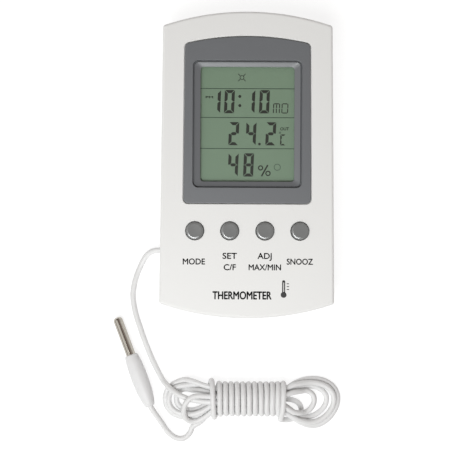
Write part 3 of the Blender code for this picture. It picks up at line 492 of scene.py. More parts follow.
def opening(name, line, floor, mouth, lip=LIP):
    """A cutter along Z: upright walls from its floor to a face, where they open in a quarter circle."""
    way = 1 if mouth > floor else -1
    rows = [(line, 0.0, floor), *rounding(line, lip, mouth, way, flare=True)]
    return loft(name, levels(*rows, (line, -lip, mouth + way * PAST)))


def cross_rod(name, radius, low, high, at, columns=32):
    """A cylinder along X, from low to high there."""
    made = rod(name, radius, low, high, (0.0, 0.0), None, columns)
    made.data.transform(Matrix.Translation((0.0, *at)) @ Matrix.Rotation(pi / 2, 4, "Y"))
    return made


def merged(name, pieces):
    """Pieces that don't overlap, as one mesh."""
    bm = bmesh.new()
    for piece in pieces:
        bm.from_mesh(piece.data)
        bpy.data.objects.remove(piece)
    mesh = bpy.data.meshes.new(name)
    bm.to_mesh(mesh)
    bm.free()
    obj = bpy.data.objects.new(name, mesh)
    bpy.context.scene.collection.objects.link(obj)
    return obj


def shaped(target, pieces, operation):
    """Joins pieces to a target, or cuts them out of it."""
    tool = merged("tool", pieces)
    modifier = target.modifiers.new("shape", "BOOLEAN")
    modifier.operation = operation
    modifier.object = tool
    made = applied(target)
    bpy.data.objects.remove(tool)
    return made


def applied(obj):
    """The object with its modifiers worked into its mesh."""
    bpy.context.view_layer.update()
    evaluated = obj.evaluated_get(bpy.context.evaluated_depsgraph_get())
    mesh = bpy.data.meshes.new_from_object(evaluated)
    obj.modifiers.clear()
    obj.data = mesh
    return obj


def finished(obj, body, slot, *nodes, sharp=30.0):
    """Shades a piece with normals weighted by its faces' areas, and puts it on its body in the frame."""
    shade(obj, sharp)
    weighted = obj.modifiers.new("even_shading", "WEIGHTED_NORMAL")
    weighted.keep_sharp = True
    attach(obj, body)
    if nodes:
        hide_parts(*nodes)
    return obj


def along(way, at):
    """The matrix that lays a shape turned about Z along a direction, from a point."""
    return Matrix.Translation(at) @ Vector(way).to_track_quat("Z", "Y").to_matrix().to_4x4()


def letters(text):
    """A word as a mesh of the built-in font, about its own corner."""
    curve = bpy.data.curves.new("word", "FONT")
    curve.body = text
    curve.extrude = 0.01
    curve.resolution_u = 4
    words = bpy.data.objects.new("word", curve)
    bpy.context.scene.collection.objects.link(words)
    bpy.context.view_layer.update()
    mesh = bpy.data.meshes.new_from_object(words.evaluated_get(bpy.context.evaluated_depsgraph_get()))
    bpy.data.objects.remove(words)
    points = np.array([vertex.co for vertex in mesh.vertices])
    return mesh, points.min(axis=0), points.max(axis=0)


def word_mesh(text, width, height, bold=0.0, thick=INK):
    """A word as a thin mesh about the origin, with a given width and height of its capitals. A bold word is
    the same word laid over itself, shifted to the four sides."""
    _, floor, roof = letters("H")
    mesh, low, high = letters(text)
    size = height / (roof[1] - floor[1])
    wide = width / (high[0] - low[0])
    middle = Vector(((low[0] + high[0]) / 2, (floor[1] + roof[1]) / 2, low[2]))
    mesh.transform(Matrix.Diagonal((wide, size, thick / (high[2] - low[2]), 1.0)) @ Matrix.Translation(-middle))
    obj = bpy.data.objects.new("word", mesh)
    bpy.context.scene.collection.objects.link(obj)
    if not bold:
        return obj
    copies = []
    for x, y in ((-1, 0), (1, 0), (0, -1), (0, 1)):
        copy = bpy.data.objects.new("word", mesh.copy())
        copy.data.transform(Matrix.Translation((x * bold, y * bold, 0.0)))
        bpy.context.scene.collection.objects.link(copy)
        copies.append(copy)
    return merged("word", [obj, *copies])


# Materials


def add_node(tree, kind, settings=(), **inputs):
    """A shader node with its settings and its inputs' values; an input may be another node's output."""
    made = tree.nodes.new("ShaderNode" + kind)
    for name, value in dict(settings).items():
        setattr(made, name, value)
    for name, value in inputs.items():
        socket = made.inputs[int(name[1:])] if name[1:].isdigit() else made.inputs[name.replace("_", " ")]
        if isinstance(value, bpy.types.NodeSocket):
            tree.links.new(value, socket)
        else:
            socket.default_value = value
    return made


def new_group(name, inputs, outputs):
    """An empty node group with its sockets; a name that ends in Colour is a colour."""
    tree = bpy.data.node_groups.new(name, "ShaderNodeTree")
    for label, value in inputs.items():
        kind = "NodeSocketColor" if label.endswith("Colour") else "NodeSocketFloat"
        socket = tree.interface.new_socket(label, in_out="INPUT", socket_type=kind)
        socket.default_value = value
    for label in outputs:
        kind = "NodeSocketColor" if label.endswith("Colour") else "NodeSocketFloat"
        tree.interface.new_socket(label, in_out="OUTPUT", socket_type=kind)
    start = tree.nodes.new("NodeGroupInput")
    end = tree.nodes.new("NodeGroupOutput")
    return tree, start.outputs, end.inputs


def shift(tree, value, middle, spread):
    """middle plus spread times (value - 0.5) times 2."""
    scaled = add_node(tree, "Math", {"operation": "MULTIPLY_ADD"}, _0=value, _1=spread, _2=middle)
    back = add_node(tree, "Math", {"operation": "MULTIPLY"}, _0=spread, _1=0.5)
    moved = add_node(tree, "Math", {"operation": "SUBTRACT"}, _0=scaled.outputs[0], _1=back.outputs[0])
    return moved.outputs[0]


def moulded_group():
    """Moulded plastic or rubber: a slow drift of tone, patches of gloss and the fine grain of the tool."""
    inputs = {"Colour": (0.8, 0.8, 0.8, 1), "Drift": 0.03, "Roughness": 0.45, "Patches": 0.1, "Grain": 3000.0}
    tree, given, out = new_group("moulded_finish", inputs, ("Colour", "Roughness", "Height"))
    place = add_node(tree, "TexCoord").outputs["Object"]
    drift = add_node(tree, "TexNoise", Vector=place, Scale=38.0, Detail=4.0)
    tone = shift(tree, drift.outputs[0], 1.0, given["Drift"])
    colour = add_node(tree, "VectorMath", {"operation": "SCALE"}, _0=given["Colour"], Scale=tone)
    tree.links.new(colour.outputs[0], out["Colour"])
    patches = add_node(tree, "TexNoise", Vector=place, Scale=260.0, Detail=3.0)
    tree.links.new(shift(tree, patches.outputs[0], given["Roughness"], given["Patches"]), out["Roughness"])
    grain = add_node(tree, "TexNoise", Vector=place, Scale=given["Grain"], Detail=2.0)
    tree.links.new(grain.outputs[0], out["Height"])
    return tree


def drawn_group():
    """Drawn or plated metal: streaks along one axis, which stretch the noise, and a few duller patches."""
    inputs = {"Colour": (0.7, 0.7, 0.7, 1), "Roughness": 0.25, "Streaks": 0.1, "Grain": 900.0}
    tree, given, out = new_group("drawn_metal", inputs, ("Colour", "Roughness", "Height"))
    place = add_node(tree, "TexCoord").outputs["Object"]
    stretched = add_node(tree, "Mapping", Vector=place, Rotation=(0, 0, radians(-21)), Scale=(1, 0.03, 1))
    streaks = add_node(tree, "TexNoise", Vector=stretched.outputs[0], Scale=given["Grain"], Detail=3.0)
    patches = add_node(tree, "TexNoise", Vector=place, Scale=180.0, Detail=3.0)
    tone = shift(tree, patches.outputs[0], 1.0, 0.10)
    colour = add_node(tree, "VectorMath", {"operation": "SCALE"}, _0=given["Colour"], Scale=tone)
    tree.links.new(colour.outputs[0], out["Colour"])
    tree.links.new(shift(tree, streaks.outputs[0], given["Roughness"], given["Streaks"]), out["Roughness"])
    tree.links.new(streaks.outputs[0], out["Height"])
    return tree


def group_of(name, maker):
    return bpy.data.node_groups.get(name) or maker()


def new_material(name):
    material = bpy.data.materials.new(name)
    material.use_nodes = True
    return material, material.node_tree, material.node_tree.nodes["Principled BSDF"]


def material_from(name, group_tree, values, depth, **plain):
    """A Principled material fed by a shared group, with its fine relief `depth` metres high."""
    material, tree, shader = new_material(name)
    group = tree.nodes.new("ShaderNodeGroup")
    group.node_tree = group_tree
    for label, value in values.items():
        group.inputs[label].default_value = value
    tree.links.new(group.outputs["Colour"], shader.inputs["Base Color"])
    tree.links.new(group.outputs["Roughness"], shader.inputs["Roughness"])
    bump = add_node(tree, "Bump", Strength=0.6, Distance=depth, Height=group.outputs["Height"])
    tree.links.new(bump.outputs[0], shader.inputs["Normal"])
    for label, value in plain.items():
        shader.inputs[label.replace("_", " ")].default_value = value
    return material


def plastic(name, colour, roughness, drift=0.02, patches=0.08, grain=3000.0, depth=0.00001, **plain):
    values = {
        "Colour": (*colour, 1.0), "Drift": drift, "Roughness": roughness, "Patches": patches, "Grain": grain,
    }
    return material_from(name, group_of("moulded_finish", moulded_group), values, depth, **plain)


def metal(name, colour, roughness, streaks=0.1, grain=900.0, depth=0.000002):
    values = {"Colour": (*colour, 1.0), "Roughness": roughness, "Streaks": streaks, "Grain": grain}
    return material_from(name, group_of("drawn_metal", drawn_group), values, depth, Metallic=1.0)


def coloured(material, make_colour):
    """Feeds a material's shared group with a pattern's colour in place of its plain one."""
    tree = material.node_tree
    group = next(node for node in tree.nodes if node.type == "GROUP")
    tree.links.new(make_colour(tree), group.inputs["Colour"])
    return material


def blend_colours(tree, share, first, second):
    mix = add_node(tree, "Mix", {"data_type": "RGBA"}, _0=share)
    mix.inputs[6].default_value = (*first, 1)
    mix.inputs[7].default_value = (*second, 1)
    return mix.outputs[2]


# The case


def cover_plastic(name, colour):
    return plastic(name, colour, 0.42, drift=0.015, patches=0.10, grain=2600.0, depth=0.000012)


def make_front_cover(context):
    """One closed ring of rows: up the outside, over the rim, across the front, down the bezel's pocket,
    through the display's opening and back along the inside."""
    props = context.scene.thermometer_case
    low = SPLIT + GAP
    inside = CASE_TOP - WALL
    hole = display_line(OPENING_HALF, 0.003)
    rows = [(case_line, WALL, low), *rounding(case_line, LIP, low, -1)[::-1]]
    rows += rounding(case_line, props.rim, CASE_TOP, steps=9)
    rows += rounding(bezel_line, LIP, CASE_TOP, flare=True, depth=-GAP)[::-1]
    rows += [(bezel_line, -GAP, BEZEL_SEAT), (hole, 0.0, BEZEL_SEAT), (hole, 0.0, inside)]
    rows += [(case_line, WALL, inside)]
    material = cover_plastic("front_cover_plastic", props.cover_colour)
    cover = loft("front_shell", levels(*rows), material, ring=True)
    posts = [rod("boss", *CASE_BOSS, inside + GAP, at) for at in CASE_SCREWS]
    posts += [rod("post", *BOARD_POST, inside + GAP, at) for at in BOARD_SCREWS]
    shaped(cover, posts, "UNION")
    cuts = [
        opening("hole", round_line(BUTTON_RADIUS + GAP, (x, BUTTON_Y)), inside - PAST, CASE_TOP)
        for x in BUTTONS.values()
    ]
    cuts += [rod("pilot", *BOSS_PILOT, at) for at in CASE_SCREWS]
    cuts += [rod("post_pilot", *POST_PILOT, at) for at in BOARD_SCREWS]
    shaped(cover, cuts, "DIFFERENCE")
    finished(cover, "case", "white_plastic", "front_cover")


def rear_cup(props):
    """A cup of rows: the outside from the back up, and the tongue that plugs into the front cover."""
    fit = WALL + GAP
    thick, rise = TONGUE
    top = SPLIT + rise
    rows = [*rounding(case_line, props.rim, 0.0, -1, steps=8)[::-1], *rounding(case_line, LIP, SPLIT)]
    rows += [(case_line, fit, SPLIT), (case_line, fit, top - LIP), (case_line, fit + LIP, top)]
    rows += [(case_line, fit + thick, top), (case_line, fit + thick, LEDGE), (case_line, WALL, LEDGE)]
    rows.append((case_line, WALL, WALL))
    return loft("rear_shell", levels(*rows), cover_plastic("rear_cover_plastic", props.cover_colour))


def rear_openings():
    """Cutters for what the back shows: the bay, the leg's pocket, the keyhole's slot, the counterbores, the
    vents, a ring of six sound holes round a seventh, and the cord's way through the side."""
    through = WALL + PAST
    bay = box_line((BAY_HALF, (BAY_Y[1] - BAY_Y[0]) / 2), (0.0, sum(BAY_Y) / 2), 0.0005)
    leg = box_line((LEG_HALF + GAP, (POCKET_Y[1] - POCKET_Y[0]) / 2), (0.0, sum(POCKET_Y) / 2), 0.0030)
    slot = box_line(KEYHOLE_SLOT, (0.0, KEYHOLE_Y + KEYHOLE_SLOT[1] / 2), 0.0019)
    cuts = [
        opening("bay_space", bay, BAY_TOP, 0.0), opening("leg_space", leg, POCKET_TOP, 0.0),
        opening("keyhole_slot", slot, through, 0.0),
    ]
    radius, floor = COUNTERBORE
    cuts += [opening("counterbore", round_line(radius, at), floor, 0.0) for at in CASE_SCREWS]
    half = ((VENT_X[1] - VENT_X[0]) / 2, VENT_HALF)
    vents = [box_line(half, (sum(VENT_X) / 2, y), 0.0006) for y in VENT_Y]
    reach, radius = SOUND_HOLES
    angles = np.arange(6) * pi / 3
    ring = np.column_stack([np.cos(angles), np.sin(angles)]) * reach
    vents += [round_line(radius, at, 20) for at in np.concatenate([[(0.0, 0.0)], ring]) + BUZZER_AT]
    cuts += [opening("vent", line, through, 0.0, 0.00015) for line in vents]
    wall = abs(CORD_EXIT[0])
    return [*cuts, cross_rod("cord_way", 0.0023, -wall - PAST, WALL + PAST - wall, CORD_EXIT[1:])]


def rear_ways():
    """Cutters that overlap the first ones: the finger notch, the keyhole's head, the screws' ways, the slots
    for the door's tabs and the contacts' tails, and the holes of the leg's pegs."""
    cuts = [opening("notch", round_line(0.0050, (0.0, POCKET_Y[0] + 0.002)), POCKET_TOP - GAP, 0.0)]
    cuts.append(opening("keyhole_head", round_line(KEYHOLE_RADIUS, (0.0, KEYHOLE_Y)), WALL + PAST, 0.0))
    cuts += [rod("screw_way", *SCREW_WAY, at) for at in CASE_SCREWS]
    reach = TAB_HALF + GAP
    for x in (-TAB_X, TAB_X):
        low = (x - reach, BAY_Y[1] - PAST, WALL)
        cuts.append(block("tab_slot", low, (x + reach, BAY_Y[1] + 0.0022, 0.0040)))
    for side in (-1, 1):
        ends = sorted((side * (BAY_HALF - PAST), side * (BAY_HALF + 0.0025)))
        cuts.append(block("tail_slot", (ends[0], 0.0237, 0.0103), (ends[1], 0.0263, 0.0113)))
    half = TRAY_HALF + 0.0005
    return [*cuts, cross_rod("peg_way", PEG_RADIUS + GAP, -half, half, LEG_HINGE)]


def make_rear_cover(context):
    """The cup with its bosses, its bay and its tray joined on, and the holes of the back cut out."""
    cover = rear_cup(context.scene.thermometer_case)
    bay_half = BAY_HALF + 0.0015
    bay = ((-bay_half, BAY_Y[0] - 0.0012, ROOT), (bay_half, BAY_Y[1] + 0.0012, BAY_TOP + 0.001))
    tray = ((-TRAY_HALF, POCKET_Y[0] - 0.0015, ROOT), (TRAY_HALF, POCKET_Y[1] + 0.0015, TRAY_TOP))
    radius, top = REAR_BOSS
    bosses = [rod("boss", radius, ROOT, top, at) for at in CASE_SCREWS]
    shaped(cover, [block("bay", *bay), block("tray", *tray), *bosses], "UNION")
    shaped(cover, rear_openings(), "DIFFERENCE")
    shaped(cover, rear_ways(), "DIFFERENCE")
    finished(cover, "case", "white_plastic", "rear_cover")


def make_bezel(context):
    """A closed ring of rows: the flat frame, its sharp inner step, a narrow groove, and the dished slope down
    to the display, which falls with its width share to the power 0.8."""
    props = context.scene.thermometer_case
    low, seat = 0.0213, BEZEL_SEAT + GAP
    floor, brink, lip = BEZEL_TOP - 0.0010, low + 0.00025, low + 0.0001
    step, collar = display_line(STEP_HALF, 0.0023), display_line(COLLAR_HALF, 0.0027)
    outside, view = display_line(SLOPE_HALF, 0.0020), display_line(VIEW_HALF, 0.0013)
    rows = [(bezel_line, 0.0, seat), *rounding(bezel_line, 0.0004, BEZEL_TOP)]
    rows += rounding(step, 0.00018, BEZEL_TOP, flare=True)[::-1]
    rows += [(step, 0.0, lip), (outside, 0.0, lip), (outside, 0.0, floor - 0.0002)]
    share = np.linspace(0.0, 1.0, 9)[:-1]
    wide, narrow = outside(0.0), view(0.0)
    slope = wide + (narrow - wide) * (0.06 + 0.94 * share)[:, None, None]
    height = floor - (floor - brink) * share**0.8
    slope = np.concatenate([slope, np.broadcast_to(height[:, None, None], (*slope.shape[:2], 1))], axis=2)
    inner = [*rounding(view, 0.00012, brink, flare=True)[::-1], (view, 0.0, low)]
    inner += [(collar, 0.0, low), (collar, 0.0, seat)]
    material = plastic(
        "bezel_plastic", props.bezel_colour, 0.38, drift=0.03, patches=0.08, grain=3200.0, depth=0.000012,
        Specular_IOR_Level=0.6,
    )
    rings = np.concatenate([levels(*rows), slope, levels(*inner)])
    bezel = loft("bezel_frame", rings, material, ring=True, sharp=25.0)
    finished(bezel, "case", "grey_plastic", "bezel", sharp=25.0)


# The display


DIGITS = {"0": "abcdef", "1": "bc", "2": "abged", "4": "fgbc", "8": "abcdefg", "C": "aefd"}
# Each is (digit, left edge, low edge, width, height, share of the full stroke), in mm from the middle
DIGIT_ROWS = (
    ("1", -15.9, 4.8, 4.3, 9.9, 1.0), ("0", -10.0, 4.8, 4.3, 9.9, 1.0),
    ("1", -1.3, 4.8, 4.3, 9.9, 1.0), ("0", 4.9, 4.8, 4.3, 9.9, 1.0),
    ("2", -8.1, -8.8, 4.3, 9.85, 1.0), ("4", -0.75, -8.8, 4.3, 9.85, 1.0), ("2", 7.65, -8.8, 4.3, 9.85, 1.0),
    ("4", -8.3, -22.1, 4.3, 9.9, 1.0), ("8", -1.75, -22.1, 4.3, 9.9, 1.0), ("C", 13.9, -8.8, 2.3, 4.7, 0.48),
)
DAY_BARS = (  # from, to
    ((11.05, 5.0), (11.05, 6.8)), ((11.15, 7.1), (11.2, 8.9)), ((12.3, 5.0), (12.35, 6.8)),
    ((12.4, 7.1), (12.45, 8.6)), ((13.55, 5.0), (13.6, 6.8)), ((13.65, 7.1), (13.7, 8.9)),
    ((11.4, 8.9), (13.5, 8.9)), ((14.65, 5.1), (14.7, 6.8)), ((14.75, 7.1), (14.8, 8.8)),
    ((17.1, 5.1), (17.15, 6.8)), ((17.2, 7.1), (17.25, 8.8)), ((14.9, 5.0), (16.9, 5.0)),
    ((15.0, 8.9), (17.0, 8.9)),
)
DOTS = ((-3.24, 11.98, 0.66), (-3.24, 8.08, 0.66), (5.19, -8.27, 0.58))
RINGS = (  # across, up, outer radius, inner radius
    (-2.38, 20.02, 0.95, 0.68), (5.72, -18.4, 1.12, 0.62), (8.87, -20.72, 1.15, 0.65),
)
FAINT_RINGS = ((12.81, -18.07, 1.45, 1.2), (13.9, -3.4, 0.45, 0.22))
ROW_LINES = (15.3, 3.0, -10.2)


def prisms(outlines, low, high):
    """Flat outlines of equal size as upright prisms: points and faces for all of them at once."""
    count, corners, _ = outlines.shape
    floor = np.concatenate([outlines, np.full((count, corners, 1), low)], axis=2)
    roof = np.concatenate([outlines, np.full((count, corners, 1), high)], axis=2)
    points = np.concatenate([floor, roof], axis=1)
    first = np.arange(count)[:, None] * corners * 2
    around = np.arange(corners)[None, :]
    beside = (around + 1) % corners
    sides = np.stack([
        first + around, first + beside, first + corners + beside, first + corners + around
    ], axis=-1).reshape(-1, 4)
    ends = [(first + around)[:, ::-1], first + corners + around]
    return points.reshape(-1, 3), sides.tolist() + np.concatenate(ends).tolist()


def segments(width, height, thick, gap):
    """The seven segments of a digit as six-cornered outlines: mitred bars round its edge and one across."""
    half, slit = height / 2, gap / 2
    top = np.array([
        (gap, height), (width / 2, height), (width - gap, height),
        (width - thick - gap, height - thick), (width / 2, height - thick), (thick + gap, height - thick),
    ])
    left = np.array([
        (0, height - gap), (0, 0.75 * height), (0, half + slit),
        (thick / 2, half + slit), (thick, half + thick / 2 + slit), (thick, height - thick - gap),
    ])
    across = np.array([
        (thick / 2 + gap, half), (thick + gap, half + thick / 2),
        (width - thick - gap, half + thick / 2), (width - thick / 2 - gap, half),
        (width - thick - gap, half - thick / 2), (thick + gap, half - thick / 2),
    ])
    beside, below = np.array([(width, 0), (0, height)])
    return {
        "a": top, "f": left, "g": across, "d": below + top * (1, -1), "b": beside + left * (-1, 1),
        "e": below + left * (1, -1), "c": beside + below + left * (-1, -1),
    }


def digit_outlines(rows, stroke, slant):
    """The lit segments of digits; a digit leans by its height times tan(slant)."""
    outlines = []
    for digit, left, low, width, height, share in rows:
        shapes = segments(width, height, stroke / MM * share, 0.16)
        lit = np.array([shapes[name] for name in DIGITS[digit]])
        lit[:, :, 0] += lit[:, :, 1] * np.tan(slant)
        outlines.append(lit + (left, low))
    outlines = np.concatenate(outlines)
    after = np.roll(outlines, -1, axis=1)
    area = (outlines[:, :, 0] * after[:, :, 1] - outlines[:, :, 1] * after[:, :, 0]).sum(axis=1)
    outlines[area < 0] = outlines[area < 0][:, ::-1]
    return outlines


def bar(start, end, thick):
    """A straight stroke between two points, as a four-sided outline in mm."""
    start, end = np.array(start, float), np.array(end, float)
    way = (end - start) / np.linalg.norm(end - start)
    side = np.array([-way[1], way[0]]) * thick / 2
    return np.array([start - side, end - side, end + side, start + side])


def ring_outlines(rings, steps=28):
    """Each ring as four-sided pieces between its outer and its inner circle."""
    angle = np.linspace(0, 2 * pi, steps + 1)
    circle = np.stack([np.cos(angle), np.sin(angle)], axis=1)
    rings = np.array(rings)
    outer = rings[:, None, :2] + circle[None] * rings[:, None, 2:3]
    inner = rings[:, None, :2] + circle[None] * rings[:, None, 3:4]
    pieces = np.stack([outer[:, :-1], outer[:, 1:], inner[:, 1:], inner[:, :-1]], axis=2)
    return pieces.reshape(-1, 4, 2)


def flat_marks(name, groups, low, high, material):
    """Outlines in mm from the display's middle, as one thin mesh."""
    points, faces, count = [], [], 0
    for outlines in groups:
        some, more = prisms(np.asarray(outlines) * MM + (0.0, DISPLAY_Y), low, high)
        faces += [[corner + count for corner in face] for face in more]
        points.append(some)
        count += len(some)
    return surface(name, np.concatenate(points), faces, material)


def make_window():
    """The clear pane, whose faces only show what they reflect: its alpha is their Fresnel share."""
    low, high = PANE_LEVELS
    corners = ((-PANE_HALF[0], DISPLAY_Y - PANE_HALF[1], low), (PANE_HALF[0], DISPLAY_Y + PANE_HALF[1], high))
    window = block("window_pane", *corners, 0.0006, 0.0001)
    clear, tree, shader = new_material("window_acrylic")
    shader.inputs["Base Color"].default_value = (1, 1, 1, 1)
    shader.inputs["Metallic"].default_value = 1.0
    smear = add_node(tree, "TexNoise", Vector=add_node(tree, "TexCoord").outputs["Object"], Scale=60.0)
    gloss = add_node(tree, "MapRange", Value=smear.outputs[0], To_Min=0.02, To_Max=0.08)
    tree.links.new(gloss.outputs[0], shader.inputs["Roughness"])
    inside = add_node(tree, "NewGeometry").outputs["Backfacing"]
    index = add_node(tree, "MapRange", Value=inside, To_Min=1.45, To_Max=1 / 1.45)
    tree.links.new(add_node(tree, "Fresnel", IOR=index.outputs[0]).outputs[0], shader.inputs["Alpha"])
    window.data.materials.append(clear)
    finished(window, "case", "clear_plastic", "window")


def make_panel(colour):
    low, high = PANEL_LEVELS
    corners = ((-PANE_HALF[0], DISPLAY_Y - PANE_HALF[1], low), (PANE_HALF[0], DISPLAY_Y + PANE_HALF[1], high))
    panel = block("lcd_glass_panel", *corners, 0.0003, 0.0001)
    panel.data.materials.append(
        plastic("lcd_backing", colour, 0.45, drift=0.04, patches=0.05, grain=5200.0, depth=0.000006)
    )
    finished(panel, "case", "lcd_glass", "lcd_panel")


def make_marks(props):
    """What the display shows: digits, day, sun and signs in full ink, row lines and rings in faint ink, and
    its two small words."""
    low = PANEL_LEVELS[1] + 0.00001
    ink = plastic("lcd_ink", props.ink_colour, 0.4, drift=0.15)
    digits = digit_outlines(DIGIT_ROWS, props.stroke, props.slant)
    day = np.array([bar(*ends, 0.42) for ends in DAY_BARS])
    dots = np.array([[(x + r * cos(a), y + r * sin(a)) for a in np.arange(16) * pi / 8] for x, y, r in DOTS])
    sun_x, sun_y = RINGS[0][:2]
    sides = [(a, b) for a in (-1, 1) for b in (-1, 1)]
    bars = [bar((6.12, -21.94), (8.77, -17.14), 0.65)]
    bars += [
        bar((sun_x + 0.7 * a, sun_y + 0.7 * b), (sun_x + 1.6 * a, sun_y + 1.6 * b), 0.3) for a, b in sides
    ]
    full = [digits, day, dots, np.array(bars), ring_outlines(RINGS)]
    finished(flat_marks("display_marks", full, low, low + INK, ink), "case", "lcd_glass")
    faint_ink = plastic("lcd_faint_ink", (0.04, 0.075, 0.05), 0.4, drift=0.1)
    lines = [bar((-20.4, y), (20.4, y), 0.34) for y in ROW_LINES]
    faint = [np.array(lines), ring_outlines(FAINT_RINGS)]
    finished(flat_marks("display_lines", faint, low, low + INK, faint_ink), "case", "lcd_glass")
    small = [word_mesh("PM", 0.0031, 0.0009, 0.00004), word_mesh("OUT", 0.0036, 0.0012, 0.00004)]
    for piece, at in zip(small, ((-16.2, 11.6), (15.85, -1.75))):
        piece.data.transform(Matrix.Translation((at[0] * MM, DISPLAY_Y + at[1] * MM, low)))
    joined = merged("display_words", small)
    joined.data.materials.append(ink)
    finished(joined, "case", "lcd_glass")


def make_display(context):
    props = context.scene.thermometer_display
    make_window()
    make_panel(props.glass_colour)
    make_marks(props)


# The buttons and their legends


LEGENDS = (  # word, across, up, width, in mm
    ("MODE", -22.4, -40.95, 9.3), ("SET", -7.25, -38.5, 6.0), ("C/F", -7.2, -43.3, 5.1),
    ("ADJ", 7.5, -38.5, 5.9), ("MAX/MIN", 7.6, -43.3, 13.6), ("SNOOZ", 22.4, -40.85, 11.0),
)


def make_buttons(context):
    """Each cap is a profile turned about its slide axis: a flat top, a shoulder that is part of an ellipse,
    and a flange."""
    props = context.scene.thermometer_buttons
    material = plastic(
        "button_plastic", props.colour, 0.17, drift=0.05, patches=0.08, grain=3500.0, depth=0.000003,
        Coat_Weight=1.0, Coat_Roughness=0.08, Specular_IOR_Level=0.9,
    )
    top, seat = BUTTON_TOP, 0.0209
    turn = np.linspace(0.0, radians(75), 12)
    shoulder = np.column_stack([0.00275 + 0.00097 * np.sin(turn), top - 0.0006 * (1 - np.cos(turn))])
    skirt = [(BUTTON_RADIUS, seat), (FLANGE_RADIUS, seat), (FLANGE_RADIUS, 0.0200), (0.0, 0.0200)]
    crown = [(0.0, top - 0.00004), (0.0016, top - 0.00003), (0.0028, top)]
    profile = np.concatenate([crown, shoulder, skirt])
    for name, x in BUTTONS.items():
        cap = spun("cap_" + name, profile, material, 64)
        cap.data.transform(Matrix.Translation((x, BUTTON_Y, 0.0)))
        finished(cap, "button_" + name, "button_grey", "button_" + name)


def make_legends(context):
    """The printed words, and in the maker's place a plain word with a small thermometer beside it."""
    props = context.scene.thermometer_buttons
    ink = plastic("legend_ink", props.legend_colour, 0.5, drift=0.2)
    low = CASE_TOP + 0.000005
    pieces = []
    for word, x, y, width in LEGENDS:
        piece = word_mesh(word, width * MM, props.legend_height, 0.00008)
        piece.data.transform(Matrix.Translation((x * MM, y * MM, low)))
        pieces.append(piece)
    title = word_mesh("THERMOMETER", 0.0248, 0.0032, 0.00014)
    title.data.transform(Matrix.Translation((-0.0020, -0.0552, low)))
    pieces.append(title)
    stem = np.array([bar((15.2, -54.0), (15.2, -49.2), 0.5), bar((16.0, -54.0), (16.0, -49.2), 0.5)]) * MM
    marks = np.array([bar((16.9, y), (17.9, y), 0.35) for y in (-52.6, -51.4, -50.2)]) * MM
    for outlines in (stem, marks, bulb_outline() * MM):
        points, faces = prisms(outlines, low, low + INK)
        pieces.append(surface("mark", points, faces))
    legends = merged("legends", pieces)
    legends.data.materials.append(ink)
    finished(legends, "case", "black_plastic")


def bulb_outline():
    """The bulb of the small thermometer, and its round top."""
    bulb = [(15.6 + 1.25 * cos(a), -54.9 + 1.25 * sin(a)) for a in np.arange(20) * pi / 10]
    cap = [(15.6 + 0.64 * cos(a), -49.2 + 0.5 * sin(a)) for a in np.arange(20) * pi / 10]
    return np.array([bulb, cap])


# The back


def make_stand_leg(context):
    """The folding leg: a round-cornered plate with a sunk panel, grip ribs at its free end, and its pegs."""
    props = context.scene.thermometer_case
    y, z = LEG_HINGE
    low, high = z - 0.0010, z + 0.0010
    leg = block("leg_plate", (-LEG_HALF, y - LEG_LENGTH, low), (LEG_HALF, y, high), 0.0034, 0.0004)
    barrel_half = LEG_HALF - 0.0014  # clear of the round corners of its pocket
    barrel = cross_rod("barrel", 0.0011, -barrel_half, barrel_half, LEG_HINGE)
    shaped(leg, [barrel], "UNION")
    peg_half = LEG_HALF + PEG_REACH
    shaped(leg, [cross_rod("pegs", PEG_RADIUS, -peg_half, peg_half, LEG_HINGE)], "UNION")
    panel = box_line((0.0095, 0.0155), (0.0, y - 0.0210), 0.0020)
    cuts = [opening("panel", panel, low + 0.0005, low, 0.0002)]
    for k in range(4):
        groove = box_line((0.0070, 0.00035), (0.0, y - LEG_LENGTH + 0.0035 + 0.0016 * k), 0.0003)
        cuts.append(opening("groove", groove, low + 0.0004, low, 0.0001))
    shaped(leg, cuts, "DIFFERENCE")
    leg.data.materials.clear()
    leg.data.materials.append(cover_plastic("leg_plastic", props.cover_colour))
    finished(leg, "stand_leg", "white_plastic", "stand_leg")


def make_battery_door(context):
    """The door with its two hook tabs, its snap latch and a field of grip ribs."""
    props = context.scene.thermometer_case
    half = BAY_HALF - GAP
    low_y, high_y = BAY_Y[0] + GAP, BAY_Y[1] - GAP
    door = block("door_plate", (-half, low_y, 0.0002), (half, high_y, 0.0016), 0.0004, 0.00025)
    hinge_y, hinge_z = BAY_Y[1], 0.0003
    webs, tabs = [], []
    for x in (-TAB_X, TAB_X):
        left, right, near = x - TAB_HALF, x + TAB_HALF, hinge_y - 0.0025
        webs.append(block("web", (left, near, 0.0013), (right, hinge_y - PAST, hinge_z + 0.0022)))
        tabs.append(block("tab", (left, near, hinge_z + 0.0018), (right, hinge_y + 0.0017, hinge_z + 0.0026)))
    webs.append(block("latch", (-0.0040, low_y + GAP, 0.0013), (0.0040, low_y + GAP + PAST, hinge_z + 0.0031)))
    shaped(door, webs, "UNION")
    shaped(door, tabs, "UNION")
    cuts = []
    for k in range(5):
        groove = box_line((0.0050, 0.00035), (0.0, low_y + 0.0028 + 0.0016 * k), 0.0003)
        cuts.append(opening("groove", groove, 0.0007, 0.0002, 0.0001))
    shaped(door, cuts, "DIFFERENCE")
    door.data.materials.clear()
    door.data.materials.append(cover_plastic("door_plastic", props.cover_colour))
    finished(door, "battery_door", "white_plastic", "battery_door")


